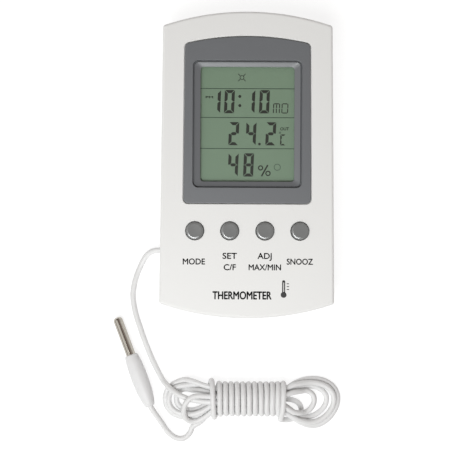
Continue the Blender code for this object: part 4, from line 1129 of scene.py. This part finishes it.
def threaded(name, radius, low, high, pitch, depth, columns=24):
    """A screw's shank: its radius falls by the thread's depth with the distance from a helical crest, which is
    a triangle wave of height over pitch less angle over a full turn; it narrows to a point at the end."""
    height = np.linspace(low, high, int((high - low) / pitch * 8))[:, None]
    angle = np.linspace(0.0, 2 * pi, columns, endpoint=False)[None, :]
    crest = 1 - 2 * np.abs((height / pitch - angle / (2 * pi)) % 1.0 - 0.5)
    taper = np.clip((high - height) / (3 * radius), 0.02, 1.0)
    reach = (radius - depth * (1 - crest)) * taper
    rings = np.stack([reach * np.cos(angle), reach * np.sin(angle), height + 0 * angle], axis=-1)
    return loft(name, rings, sharp=60.0)


def make_case_screws(context):
    """Pan heads down the counterbores, with a cross recess and a self-tapping thread."""
    steel = metal("screw_steel", (0.60, 0.60, 0.58), 0.3, grain=1400.0)
    low, seat, wide = 0.0016, 0.0029, 0.0025
    turn = np.linspace(0.0, pi / 2, 8)
    head = np.column_stack([wide - 0.0007 * (1 - np.cos(turn)), low + 0.0006 - 0.0006 * np.sin(turn)])
    profile = np.concatenate([[(0.0, seat), (wide, seat)], head, [(0.0, low)]])
    for i, (x, y) in enumerate(CASE_SCREWS, 1):
        screw = spun(f"screw_head_{i}", profile, steel, 40)
        for across, up in ((0.0013, 0.00028), (0.00028, 0.0013)):
            arm = block("arm", (-across, -up, low - PAST), (across, up, low + 0.0007), 0.0001)
            shaped(screw, [arm], "DIFFERENCE")
        shank = threaded(f"shank_{i}", 0.0010, seat - 0.0001, 0.0145, 0.0009, 0.0002)
        whole = merged(f"self_tapping_screw_{i}", [screw, shank])
        whole.data.materials.append(steel)
        whole.data.transform(Matrix.Translation((x, y, 0.0)))
        finished(whole, "case", "tinned_steel", f"case_screw_{i}", sharp=35.0)


def make_cell(context):
    """The AAA cell: a turned can with its sleeve shrunk over both edges, a raised nub and an insulating ring;
    the sleeve is two plain bands of colour, split along the cell's axis."""
    r, length = CELL_RADIUS, CELL_LENGTH
    corners = [
        (0.0, 0.0), (0.0032, 0.0), (0.0036, 0.0002), (r - 0.0003, 0.0), (r, 0.0003), (r, length - 0.0012),
        (r - 0.0004, length - 0.0008), (0.0034, length - 0.0008), (0.0032, length - 0.0011),
        (0.0021, length - 0.0011), (0.0019, length - 0.0009), (0.0019, length - 0.0001), (0.0017, length),
        (0.0, length),
    ]
    sleeve = plastic("cell_sleeve", (0.05, 0.12, 0.28), 0.3, drift=0.03, Coat_Weight=0.4)

    def bands(tree):
        place = add_node(tree, "SeparateXYZ", Vector=add_node(tree, "TexCoord").outputs["Object"])
        edge = add_node(tree, "MapRange", Value=place.outputs[0], From_Min=0.0118, From_Max=0.0120)
        cap = add_node(tree, "MapRange", Value=place.outputs[0], From_Min=0.02325, From_Max=0.02330)
        body = blend_colours(tree, edge.outputs[0], (0.04, 0.11, 0.27), (0.62, 0.62, 0.60))
        mix = add_node(tree, "Mix", {"data_type": "RGBA"}, _0=cap.outputs[0], _6=body)
        mix.inputs[7].default_value = (0.55, 0.54, 0.50, 1)
        return mix.outputs[2]

    cell = spun("aaa_cell", softened(corners, 0.0002), coloured(sleeve, bands), 64)
    cell.data.transform(along((1, 0, 0), CELL_START))
    finished(cell, "case", "cell_sleeve", "battery_cell")


def make_spring(context):
    """The negative contact's spring: a helix that narrows from its plate to the cell, with closed end turns."""
    turns = 4.0
    share = np.linspace(0.0, 1.0, 160)
    angle = 2 * pi * turns * share
    radius = 0.0034 - 0.0012 * share
    x = -0.02385 + 0.0029 * eased(share)
    y, z = CELL_START[1] + radius * np.cos(angle), CELL_START[2] + radius * np.sin(angle)
    curve = bpy.data.curves.new("contact_spring", "CURVE")
    curve.dimensions = "3D"
    curve.bevel_depth = 0.0003
    curve.bevel_resolution = 3
    curve.use_fill_caps = True
    spline = curve.splines.new("POLY")
    spline.points.add(len(x) - 1)
    spline.points.foreach_set("co", np.column_stack([x, y, z, np.ones(len(x))]).ravel())
    spline.use_smooth = True
    spring = bpy.data.objects.new("contact_spring", curve)
    bpy.context.scene.collection.objects.link(spring)
    curve.materials.append(metal("spring_nickel", (0.66, 0.64, 0.58), 0.25))
    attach(spring, "case")
    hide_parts("battery_spring")


# What stays as the frame has it


def make_inner_finishes(context):
    """Gives each carried-over piece of the inside its own finish."""
    black = plastic("frame_black", (0.02, 0.02, 0.022), 0.5, grain=2600.0, depth=0.00001)
    zebra = coloured(plastic("zebra_rubber", (0.3, 0.1, 0.12), 0.6), zebra_stripes)
    board = coloured(plastic("solder_mask", (0.02, 0.14, 0.05), 0.35, Coat_Weight=0.3), board_tracks)
    epoxy = plastic("black_epoxy", (0.012, 0.012, 0.013), 0.2, drift=0.3, grain=700.0, depth=0.00004)
    finishes = {
        "lcd_frame": black, "zebra_strip_lower": zebra, "zebra_strip_upper": zebra, "circuit_board": board,
        "controller_blob": epoxy, "indoor_thermistor": epoxy, "sensor_bead": epoxy,
        "clock_crystal": metal("crystal_can", (0.70, 0.70, 0.68), 0.25),
        "capacitor": plastic("capacitor_sleeve", (0.03, 0.06, 0.22), 0.3, Coat_Weight=0.3),
        "humidity_sensor": plastic("sensor_plastic", (0.75, 0.75, 0.72), 0.5),
        "buzzer_disc": metal("buzzer_brass", (0.72, 0.52, 0.22), 0.3, grain=500.0),
        "buzzer_lead": plastic("buzzer_wire_red", (0.55, 0.02, 0.02), 0.4),
        "battery_wire_red": plastic("battery_wire_red", (0.55, 0.02, 0.02), 0.4),
        "battery_wire_black": plastic("battery_wire_black", (0.02, 0.02, 0.02), 0.4),
        "cord_inner": plastic("inner_cord_vinyl", (0.78, 0.78, 0.775), 0.45),
    }
    tin = metal("board_screw_tin", (0.70, 0.70, 0.68), 0.3)
    nickel = metal("contact_nickel", (0.66, 0.64, 0.58), 0.28)
    white = plastic("plunger_white", (0.75, 0.75, 0.73), 0.45)
    for i in range(1, 5):
        finishes.update({f"board_screw_{i}": tin, f"switch_body_{i}": black, f"switch_plunger_{i}": white})
    finishes.update({"battery_contact_negative": nickel, "battery_contact_positive": nickel})
    for name, material in finishes.items():
        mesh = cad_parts[name].data
        mesh.materials.clear()
        mesh.materials.append(material)


def zebra_stripes(tree):
    """Fine upright stripes of conducting rubber, by a sine wave along X."""
    place = add_node(tree, "TexCoord").outputs["Object"]
    wave = add_node(tree, "TexWave", {"bands_direction": "X"}, Vector=place, Scale=800.0)
    return blend_colours(tree, wave.outputs[1], (0.30, 0.10, 0.12), (0.02, 0.02, 0.02))


def board_tracks(tree):
    """Copper tracks under the solder mask: thin bands of a distorted wave, and round pads."""
    place = add_node(tree, "TexCoord").outputs["Object"]
    wave = add_node(tree, "TexWave", Vector=place, Scale=140.0, Distortion=3.0, Detail=1.0)
    tracks = add_node(tree, "MapRange", Value=wave.outputs[1], From_Min=0.80, From_Max=0.86)
    under = blend_colours(tree, tracks.outputs[0], (0.018, 0.12, 0.045), (0.04, 0.22, 0.08))
    spots = add_node(tree, "TexVoronoi", Vector=place, Scale=260.0)
    pads = add_node(tree, "MapRange", Value=spots.outputs[0], From_Min=0.16, From_Max=0.14)
    mix = add_node(tree, "Mix", {"data_type": "RGBA"}, _0=pads.outputs[0], _6=under)
    mix.inputs[7].default_value = (0.62, 0.58, 0.48, 1)
    return mix.outputs[2]


# The grommet and the probe


def make_grommet(context):
    """A bush in the side wall: a turned profile with a soft outer lip and a flange inside the case."""
    rubber = plastic("grommet_rubber", (0.72, 0.72, 0.71), 0.55, grain=2000.0, depth=0.00003)
    outer = -CORD_EXIT[0] - 0.0002 + 0.00035
    flange = outer - 0.0002 - WALL - GAP - 0.0002
    bore = 0.0012
    profile = [
        (bore, outer), (0.0017, outer), (0.0020, outer - 0.0003), (0.0020, flange), (0.0027, flange),
        (0.0027, flange - 0.0009), (bore, flange - 0.0009),
    ]
    grommet = spun("grommet_bush", softened(profile, 0.00015), rubber, 48, ring=True)
    grommet.data.transform(along((-1, 0, 0), (0.0, CORD_EXIT[1], CORD_EXIT[2])))
    return finished(grommet, "case", "cord_rubber", "cord_grommet")


def make_probe(context):
    """The sleeve and the metal tube, both turned about the probe's axis."""
    way = (PROBE_TO - PROBE_FROM).normalized()
    full = (PROBE_TO - PROBE_FROM).length
    wide, length = SLEEVE_RADIUS, SLEEVE_LENGTH
    corners = [
        (0.00119, -0.0003), (0.0017, -0.0003), (0.0023, 0.0004), (0.0028, 0.0026), (0.0034, 0.0062),
        (wide, 0.0110), (wide, length - 0.0080), (wide - 0.0003, length - 0.0030),
        (wide - 0.0008, length - 0.0002), (wide - 0.0011, length), (TUBE_RADIUS + 0.00005, length),
        (TUBE_RADIUS + 0.00005, length - 0.0060),
        (0.00119, length - 0.0060),
    ]
    rubber = plastic("sleeve_rubber", (0.76, 0.76, 0.765), 0.5, drift=0.02, grain=1800.0, depth=0.00002)
    sleeve = spun("probe_sleeve", softened(corners, 0.0008), rubber, 56, ring=True)
    sleeve.data.transform(along(way, PROBE_FROM))
    finished(sleeve, "case", "cord_rubber", "probe_boot", sharp=40.0)
    start = length - 0.0057
    reach = full - start
    r, nose = TUBE_RADIUS, 0.0016
    turn = np.linspace(0.0, pi / 2, 10)
    dome = np.column_stack([r - nose + nose * np.cos(turn), reach - nose + nose * np.sin(turn)])
    profile = np.concatenate([
        [(0.0016, 0.0), (r, 0.0)], dome, [(0.0, reach), (0.0, reach - r), (0.0016, reach - r)]
    ])
    steel = metal("probe_steel", (0.60, 0.565, 0.51), 0.09, streaks=0.06, grain=1600.0, depth=0.0000005)
    steel.node_tree.nodes["Principled BSDF"].inputs["Specular Tint"].default_value = (0.4, 0.38, 0.35, 1)
    tube = spun("probe_tube", profile, steel, 64)
    tube.data.transform(along(way, PROBE_FROM + way * start))
    finished(tube, "case", "stainless_steel", "probe_tip", sharp=40.0)
    return [sleeve, tube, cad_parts["sensor_bead"]]


# The cord's route


def fold(outline, share, pivot, ends, middle_height):
    """One fold of the hank: the outermost fold's outline shrunk towards a pivot, with its height going down
    from the first slot's to the middle height and up again to the last slot's."""
    shape = np.array(outline)
    moved = np.array(pivot) + (shape - pivot) * share
    away = np.abs(shape[:, 0] - shape[0, 0])
    down = eased((away - 4.0) / 9.0)
    half = np.arange(len(shape)) < len(shape) / 2
    slot_height = np.where(half, ends[0][1], ends[1][1])
    height = slot_height + (middle_height - slot_height) * down
    return np.column_stack([moved, height])


def run(slot, from_left):
    """A straight run through the hank's waist in one of its slots, in three points."""
    across, height = RUN_SLOTS[slot]
    left, right = RUN_ENDS
    steps = (left, (left + right) / 2, right)
    line = np.array([(x, across, height) for x in steps])
    return line if from_left else line[::-1]


def wraps():
    """The cord wound round the hank from right to left. Over one turn the section is a flattened round of
    half sizes WRAP_HALF, entered at its low side, over the top and back underneath; the pitch is mostly
    taken up underneath. The first turn leans back over the second, and both end turns are looser."""
    turn = np.linspace(0.0, WRAPS - 0.2, 24 * WRAPS)
    angle = pi - 2 * pi * turn
    x = WRAP_START_X - WRAP_PITCH * turn + 0.4 * (1 - np.cos(2 * pi * turn))
    x -= 2.7 * (1 - eased(turn / 0.5)) + 0.85 * eased((turn - WRAPS + 1.0) / 0.5)
    half = WRAP_HALF[0] + 1.6 * (1 - eased(turn / 0.7)) + 1.5 * eased((turn - WRAPS + 1.6) / 0.6)
    squash = 2 / 2.5
    y = half * np.sign(np.cos(angle)) * np.abs(np.cos(angle)) ** squash
    z = WRAP_MIDDLE_Z + WRAP_HALF[1] * np.sign(np.sin(angle)) * np.abs(np.sin(angle)) ** squash
    return np.column_stack([x, y, z])


def hank_route():
    """Nine runs joined by folds at both ends, from the lead's arrival over the left folds, then the turn under
    the right folds, the wraps, and the way out to the probe. In mm from the hank's middle."""
    order = ["top low", "top high", "middle low edge", "middle high edge", "bottom low", "bottom high"]
    order += ["middle low", "middle high", "bottom"]
    heights = [RUN_SLOTS[slot] for slot in order]
    right_pivot, left_pivot = FOLD_PIVOTS
    stretches = [np.array(OVER_ROUTE)]
    for i, slot in enumerate(order):
        stretches.append(run(slot, i % 2 == 0))
        if i == 8:
            break
        ends = (heights[i], heights[i + 1])
        if i % 2 == 0:
            along, across, middle = RIGHT_FOLDS[i // 2]
            turned = RIGHT_FOLD if ends[0][0] > ends[1][0] else RIGHT_FOLD[::-1]
            stretches.append(fold(turned, (along, across), right_pivot, ends, middle))
        elif i == 1:
            stretches.append(np.array(CROSSING_FOLD))
        else:
            along, across, middle = LEFT_FOLDS[(i - 3) // 2]
            stretches.append(fold(LEFT_FOLD, (along, across), left_pivot, ends, middle))
    stretches.append(np.array(TURN_TO_WRAPS))
    start = np.concatenate(stretches)
    return start, wraps(), np.array(LEAVING)


def full_route(spacing):
    """The whole cord from inside its grommet to the probe's sleeve, in metres."""
    start, wound, leaving = hank_route()
    at = np.array(HANK_AT)
    inside = np.array([(-0.0345, -0.0366, 0.0055), (-0.0360, -0.0366, 0.0055)])
    lead = np.concatenate([inside, LEAD_ROUTE])
    free = np.concatenate([start, respaced(wound, 2.0), leaving]) * MM + at
    return smooth_route(np.concatenate([lead, free, PROBE_ROUTE]), spacing)


def settled(line, diameter, rounds):
    """The route after its runs have pushed each other apart. In each round, points nearer than a diameter that
    aren't neighbours along the cord move apart, each point moves a little towards the middle of its
    neighbours, the spacing is put right, and nothing sinks below the floor. The held ends don't move."""
    spacing = np.linalg.norm(np.diff(line, axis=0), axis=1).mean()
    count = len(line)
    index = np.arange(count)
    lead = line_length(smooth_route(LEAD_ROUTE, spacing))
    tail = line_length(smooth_route(PROBE_ROUTE, spacing))
    held_start = int((lead + 0.003) / spacing)
    held_end = count - int(tail / spacing)
    free = (eased((index - held_start) / 8.0) * eased((held_end - index) / 8.0))[:, None]
    rest = line.copy()
    apart = int(2.2 * diameter / spacing)
    for _ in range(rounds):
        push = np.zeros_like(line)
        near_a, near_b = near_pairs(line, diameter, apart)
        gap = line[near_a] - line[near_b]
        distance = np.linalg.norm(gap, axis=1)[:, None]
        move = gap / np.maximum(distance, 0.00001) * (diameter - distance) * 0.5
        np.add.at(push, near_a, move)
        np.add.at(push, near_b, -move)
        touching = np.bincount(np.concatenate([near_a, near_b]), minlength=count)[:, None]
        line = line + free * push / np.maximum(touching, 1) * 1.6
        middle = (np.roll(line, 1, axis=0) + np.roll(line, -1, axis=0)) / 2
        line = line + 0.22 * free * (middle - line)
        line = line + 0.01 * free * (rest - line)
        line = evened(line, spacing, free)
        line[:, 2] = np.maximum(line[:, 2], diameter / 2)
    return line


def near_pairs(line, diameter, apart):
    """Pairs of points nearer than a diameter, at least `apart` points from each other along the line."""
    squares = (line**2).sum(axis=1)
    distance = squares[:, None] + squares[None, :] - 2 * line @ line.T
    index = np.arange(len(line))
    close = (distance < diameter**2) & (index[None, :] - index[:, None] > apart)
    return np.nonzero(close)


def evened(line, spacing, free):
    """Two passes, over the even and the odd steps, that bring each step back to its own length."""
    for first in (0, 1):
        a = line[first:-1:2]
        b = line[first + 1 :: 2]
        a = a[: len(b)]
        step = b - a
        length = np.linalg.norm(step, axis=1)[:, None]
        move = step * (1 - spacing / length) * 0.5
        share_a = free[first:-1:2][: len(b)]
        share_b = free[first + 1 :: 2]
        line[first:-1:2][: len(b)] += move * share_a
        line[first + 1 :: 2] -= move * share_b
    return line


def make_cord(context):
    props = context.scene.thermometer_cord
    line = settled(full_route(props.point_step), props.diameter, props.rounds)
    line = respaced(line, 0.8 * MM)
    curve = bpy.data.curves.new("cord", "CURVE")
    curve.dimensions = "3D"
    curve.bevel_depth = props.diameter / 2
    curve.bevel_resolution = 5
    curve.use_fill_caps = True
    spline = curve.splines.new("POLY")
    spline.points.add(len(line) - 1)
    spline.points.foreach_set("co", np.column_stack([line, np.ones(len(line))]).ravel())
    spline.use_smooth = True
    cord = bpy.data.objects.new("cord", curve)
    bpy.context.scene.collection.objects.link(cord)
    vinyl = plastic("cord_vinyl", props.colour, 0.45, drift=0.04, patches=0.12, grain=1500.0, depth=0.00002)
    curve.materials.append(vinyl)
    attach(cord, "case")
    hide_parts("cord_lead", "cord_hank", "cord_probe_lead")
    pieces = [make_grommet(context), *make_probe(context)]


# Stage


def make_stage(context):
    props = context.scene.thermometer_stage
    camera = bpy.data.cameras.new("camera")
    camera.lens = props.lens
    camera.clip_start = 0.01
    seat = bpy.data.objects.new("camera", camera)
    seat.location = (-0.00846, -0.0263, props.camera_height)
    seat.rotation_euler = (0.0, 0.0, props.camera_roll)
    context.scene.collection.objects.link(seat)
    context.scene.camera = seat
    context.scene.view_settings.view_transform = "Standard"

    mesh = bpy.data.meshes.new("floor")
    far = 30.0
    corners = [(-far, -far, 0), (far, -far, 0), (far, far, 0), (-far, far, 0)]
    mesh.from_pydata(corners, [], [(0, 1, 2, 3)])
    floor = bpy.data.objects.new("floor", mesh)
    floor.location.z = -0.00005
    context.scene.collection.objects.link(floor)
    material, tree, shader = new_material("white_floor")
    shader.inputs["Base Color"].default_value = (0.30, 0.30, 0.30, 1)
    shader.inputs["Emission Color"].default_value = (1, 1, 1, 1)
    shader.inputs["Emission Strength"].default_value = 0.80
    shader.inputs["Roughness"].default_value = 1.0
    shader.inputs["Specular IOR Level"].default_value = 0.0
    output = tree.nodes["Material Output"]
    back = tree.nodes.new("ShaderNodeNewGeometry")
    clear = tree.nodes.new("ShaderNodeBsdfTransparent")
    mix = tree.nodes.new("ShaderNodeMixShader")
    tree.links.new(back.outputs["Backfacing"], mix.inputs[0])
    tree.links.new(shader.outputs[0], mix.inputs[1])
    tree.links.new(clear.outputs[0], mix.inputs[2])
    tree.links.new(mix.outputs[0], output.inputs["Surface"])
    mesh.materials.append(material)

    light = bpy.data.lights.new("key", "AREA")
    light.shape = "RECTANGLE"
    light.size = 0.36
    light.size_y = 0.30
    light.energy = props.key_energy
    light.color = (0.97, 0.99, 1.0)
    key = bpy.data.objects.new("key", light)
    key.location = (-0.11, -0.26, 0.62)
    key.rotation_euler = (Vector((0.0, -0.02, 0.0)) - key.location).to_track_quat("-Z", "Y").to_euler()
    context.scene.collection.objects.link(key)

    world = bpy.data.worlds.new("soft_room")
    world.use_nodes = True
    tree = world.node_tree
    way = add_node(tree, "TexCoord").outputs["Generated"]
    facing = add_node(tree, "VectorMath", {"operation": "DOT_PRODUCT"}, _0=way)
    facing.inputs[1].default_value = Vector((-0.80, -0.60, 0.0))
    share = add_node(tree, "MapRange", Value=facing.outputs["Value"], From_Min=-1.0, From_Max=1.0)
    ramp = add_node(tree, "ValToRGB", Fac=share.outputs[0])
    stops = ramp.color_ramp.elements
    stops[0].position = 0.05
    stops[0].color = (0.52, 0.49, 0.48, 1)
    stops[1].position = 0.80
    stops[1].color = (1.0, 0.985, 0.955, 1)
    middle = {0.42: (0.20, 0.15, 0.12, 1), 0.50: (0.055, 0.04, 0.03, 1), 0.57: (0.5, 0.49, 0.47, 1)}
    for place, colour in middle.items():
        stops.new(place).color = colour
    background = tree.nodes["Background"]
    tree.links.new(ramp.outputs["Color"], background.inputs["Color"])
    height = add_node(tree, "SeparateXYZ", Vector=way).outputs[2]
    low, high = 0.12 * props.world_strength, props.world_strength
    rise = add_node(tree, "MapRange", Value=height, From_Min=0.05, From_Max=0.6, To_Min=low, To_Max=high)
    tree.links.new(rise.outputs[0], background.inputs["Strength"])
    context.scene.world = world


class MakeStage(Operator):
    """Make the floor, the lights and the camera"""

    bl_idname = "thermometer.stage"
    bl_label = "Stage"

    def execute(self, context):
        make_stage(context)
        return {"FINISHED"}


class MakeCord(Operator):
    """Make the cord with its hank, its grommet and its probe"""

    bl_idname = "thermometer.cord"
    bl_label = "Cord and probe"

    def execute(self, context):
        make_cord(context)
        return {"FINISHED"}


class MakeFrontCover(Operator):
    """Make the front cover"""

    bl_idname = "thermometer.front_cover"
    bl_label = "Front cover"

    def execute(self, context):
        make_front_cover(context)
        return {"FINISHED"}


class MakeRearCover(Operator):
    """Make the rear cover"""

    bl_idname = "thermometer.rear_cover"
    bl_label = "Rear cover"

    def execute(self, context):
        make_rear_cover(context)
        return {"FINISHED"}


class MakeBezel(Operator):
    """Make the frame round the display"""

    bl_idname = "thermometer.bezel"
    bl_label = "Bezel"

    def execute(self, context):
        make_bezel(context)
        return {"FINISHED"}


class MakeDisplay(Operator):
    """Make the window, the display and its marks"""

    bl_idname = "thermometer.display"
    bl_label = "Display"

    def execute(self, context):
        make_display(context)
        return {"FINISHED"}


class MakeButtons(Operator):
    """Make the four button caps"""

    bl_idname = "thermometer.buttons"
    bl_label = "Buttons"

    def execute(self, context):
        make_buttons(context)
        return {"FINISHED"}


class MakeLegends(Operator):
    """Make the printed legends"""

    bl_idname = "thermometer.legends"
    bl_label = "Legends"

    def execute(self, context):
        make_legends(context)
        return {"FINISHED"}


class MakeStandLeg(Operator):
    """Make the folding stand leg"""

    bl_idname = "thermometer.stand_leg"
    bl_label = "Stand leg"

    def execute(self, context):
        make_stand_leg(context)
        return {"FINISHED"}


class MakeBatteryDoor(Operator):
    """Make the battery door"""

    bl_idname = "thermometer.battery_door"
    bl_label = "Battery door"

    def execute(self, context):
        make_battery_door(context)
        return {"FINISHED"}


class MakeCaseScrews(Operator):
    """Make the four case screws"""

    bl_idname = "thermometer.case_screws"
    bl_label = "Case screws"

    def execute(self, context):
        make_case_screws(context)
        return {"FINISHED"}


class MakeCell(Operator):
    """Make the AAA cell and its spring"""

    bl_idname = "thermometer.cell"
    bl_label = "Cell and spring"

    def execute(self, context):
        make_cell(context)
        make_spring(context)
        return {"FINISHED"}


class FinishInside(Operator):
    """Give the pieces inside the case their finishes"""

    bl_idname = "thermometer.inside"
    bl_label = "Inner finishes"

    def execute(self, context):
        make_inner_finishes(context)
        return {"FINISHED"}


OPERATORS = (
    MakeStage, MakeCord, MakeFrontCover, MakeRearCover, MakeBezel, MakeDisplay, MakeButtons, MakeLegends,
    MakeStandLeg, MakeBatteryDoor, MakeCaseScrews, MakeCell, FinishInside,
)
PROPERTIES = {
    "thermometer_case": CaseProperties,
    "thermometer_display": DisplayProperties,
    "thermometer_buttons": ButtonProperties,
    "thermometer_cord": CordProperties,
    "thermometer_stage": StageProperties,
}


class ThermometerPanel(Panel):
    """Lists the steps that make the thermometer"""

    bl_idname = "VIEW3D_PT_thermometer"
    bl_label = "Thermometer"
    bl_space_type = "VIEW_3D"
    bl_region_type = "UI"
    bl_category = "Thermometer"

    def draw(self, context):
        for operator in OPERATORS:
            self.layout.operator(operator.bl_idname)
        for name, kind in PROPERTIES.items():
            box = self.layout.box()
            for prop in kind.__annotations__:
                box.prop(getattr(context.scene, name), prop)


def register():
    for kind in (*PROPERTIES.values(), *OPERATORS, ThermometerPanel):
        bpy.utils.register_class(kind)
    for name, kind in PROPERTIES.items():
        setattr(bpy.types.Scene, name, PointerProperty(type=kind))


def unregister():
    for name in PROPERTIES:
        delattr(bpy.types.Scene, name)
    for kind in (ThermometerPanel, *reversed(OPERATORS), *PROPERTIES.values()):
        bpy.utils.unregister_class(kind)


def main():
    register()
    for operator in OPERATORS:
        group, name = operator.bl_idname.split(".")
        getattr(getattr(bpy.ops, group), name)()


if __name__ == "__main__":
    main()
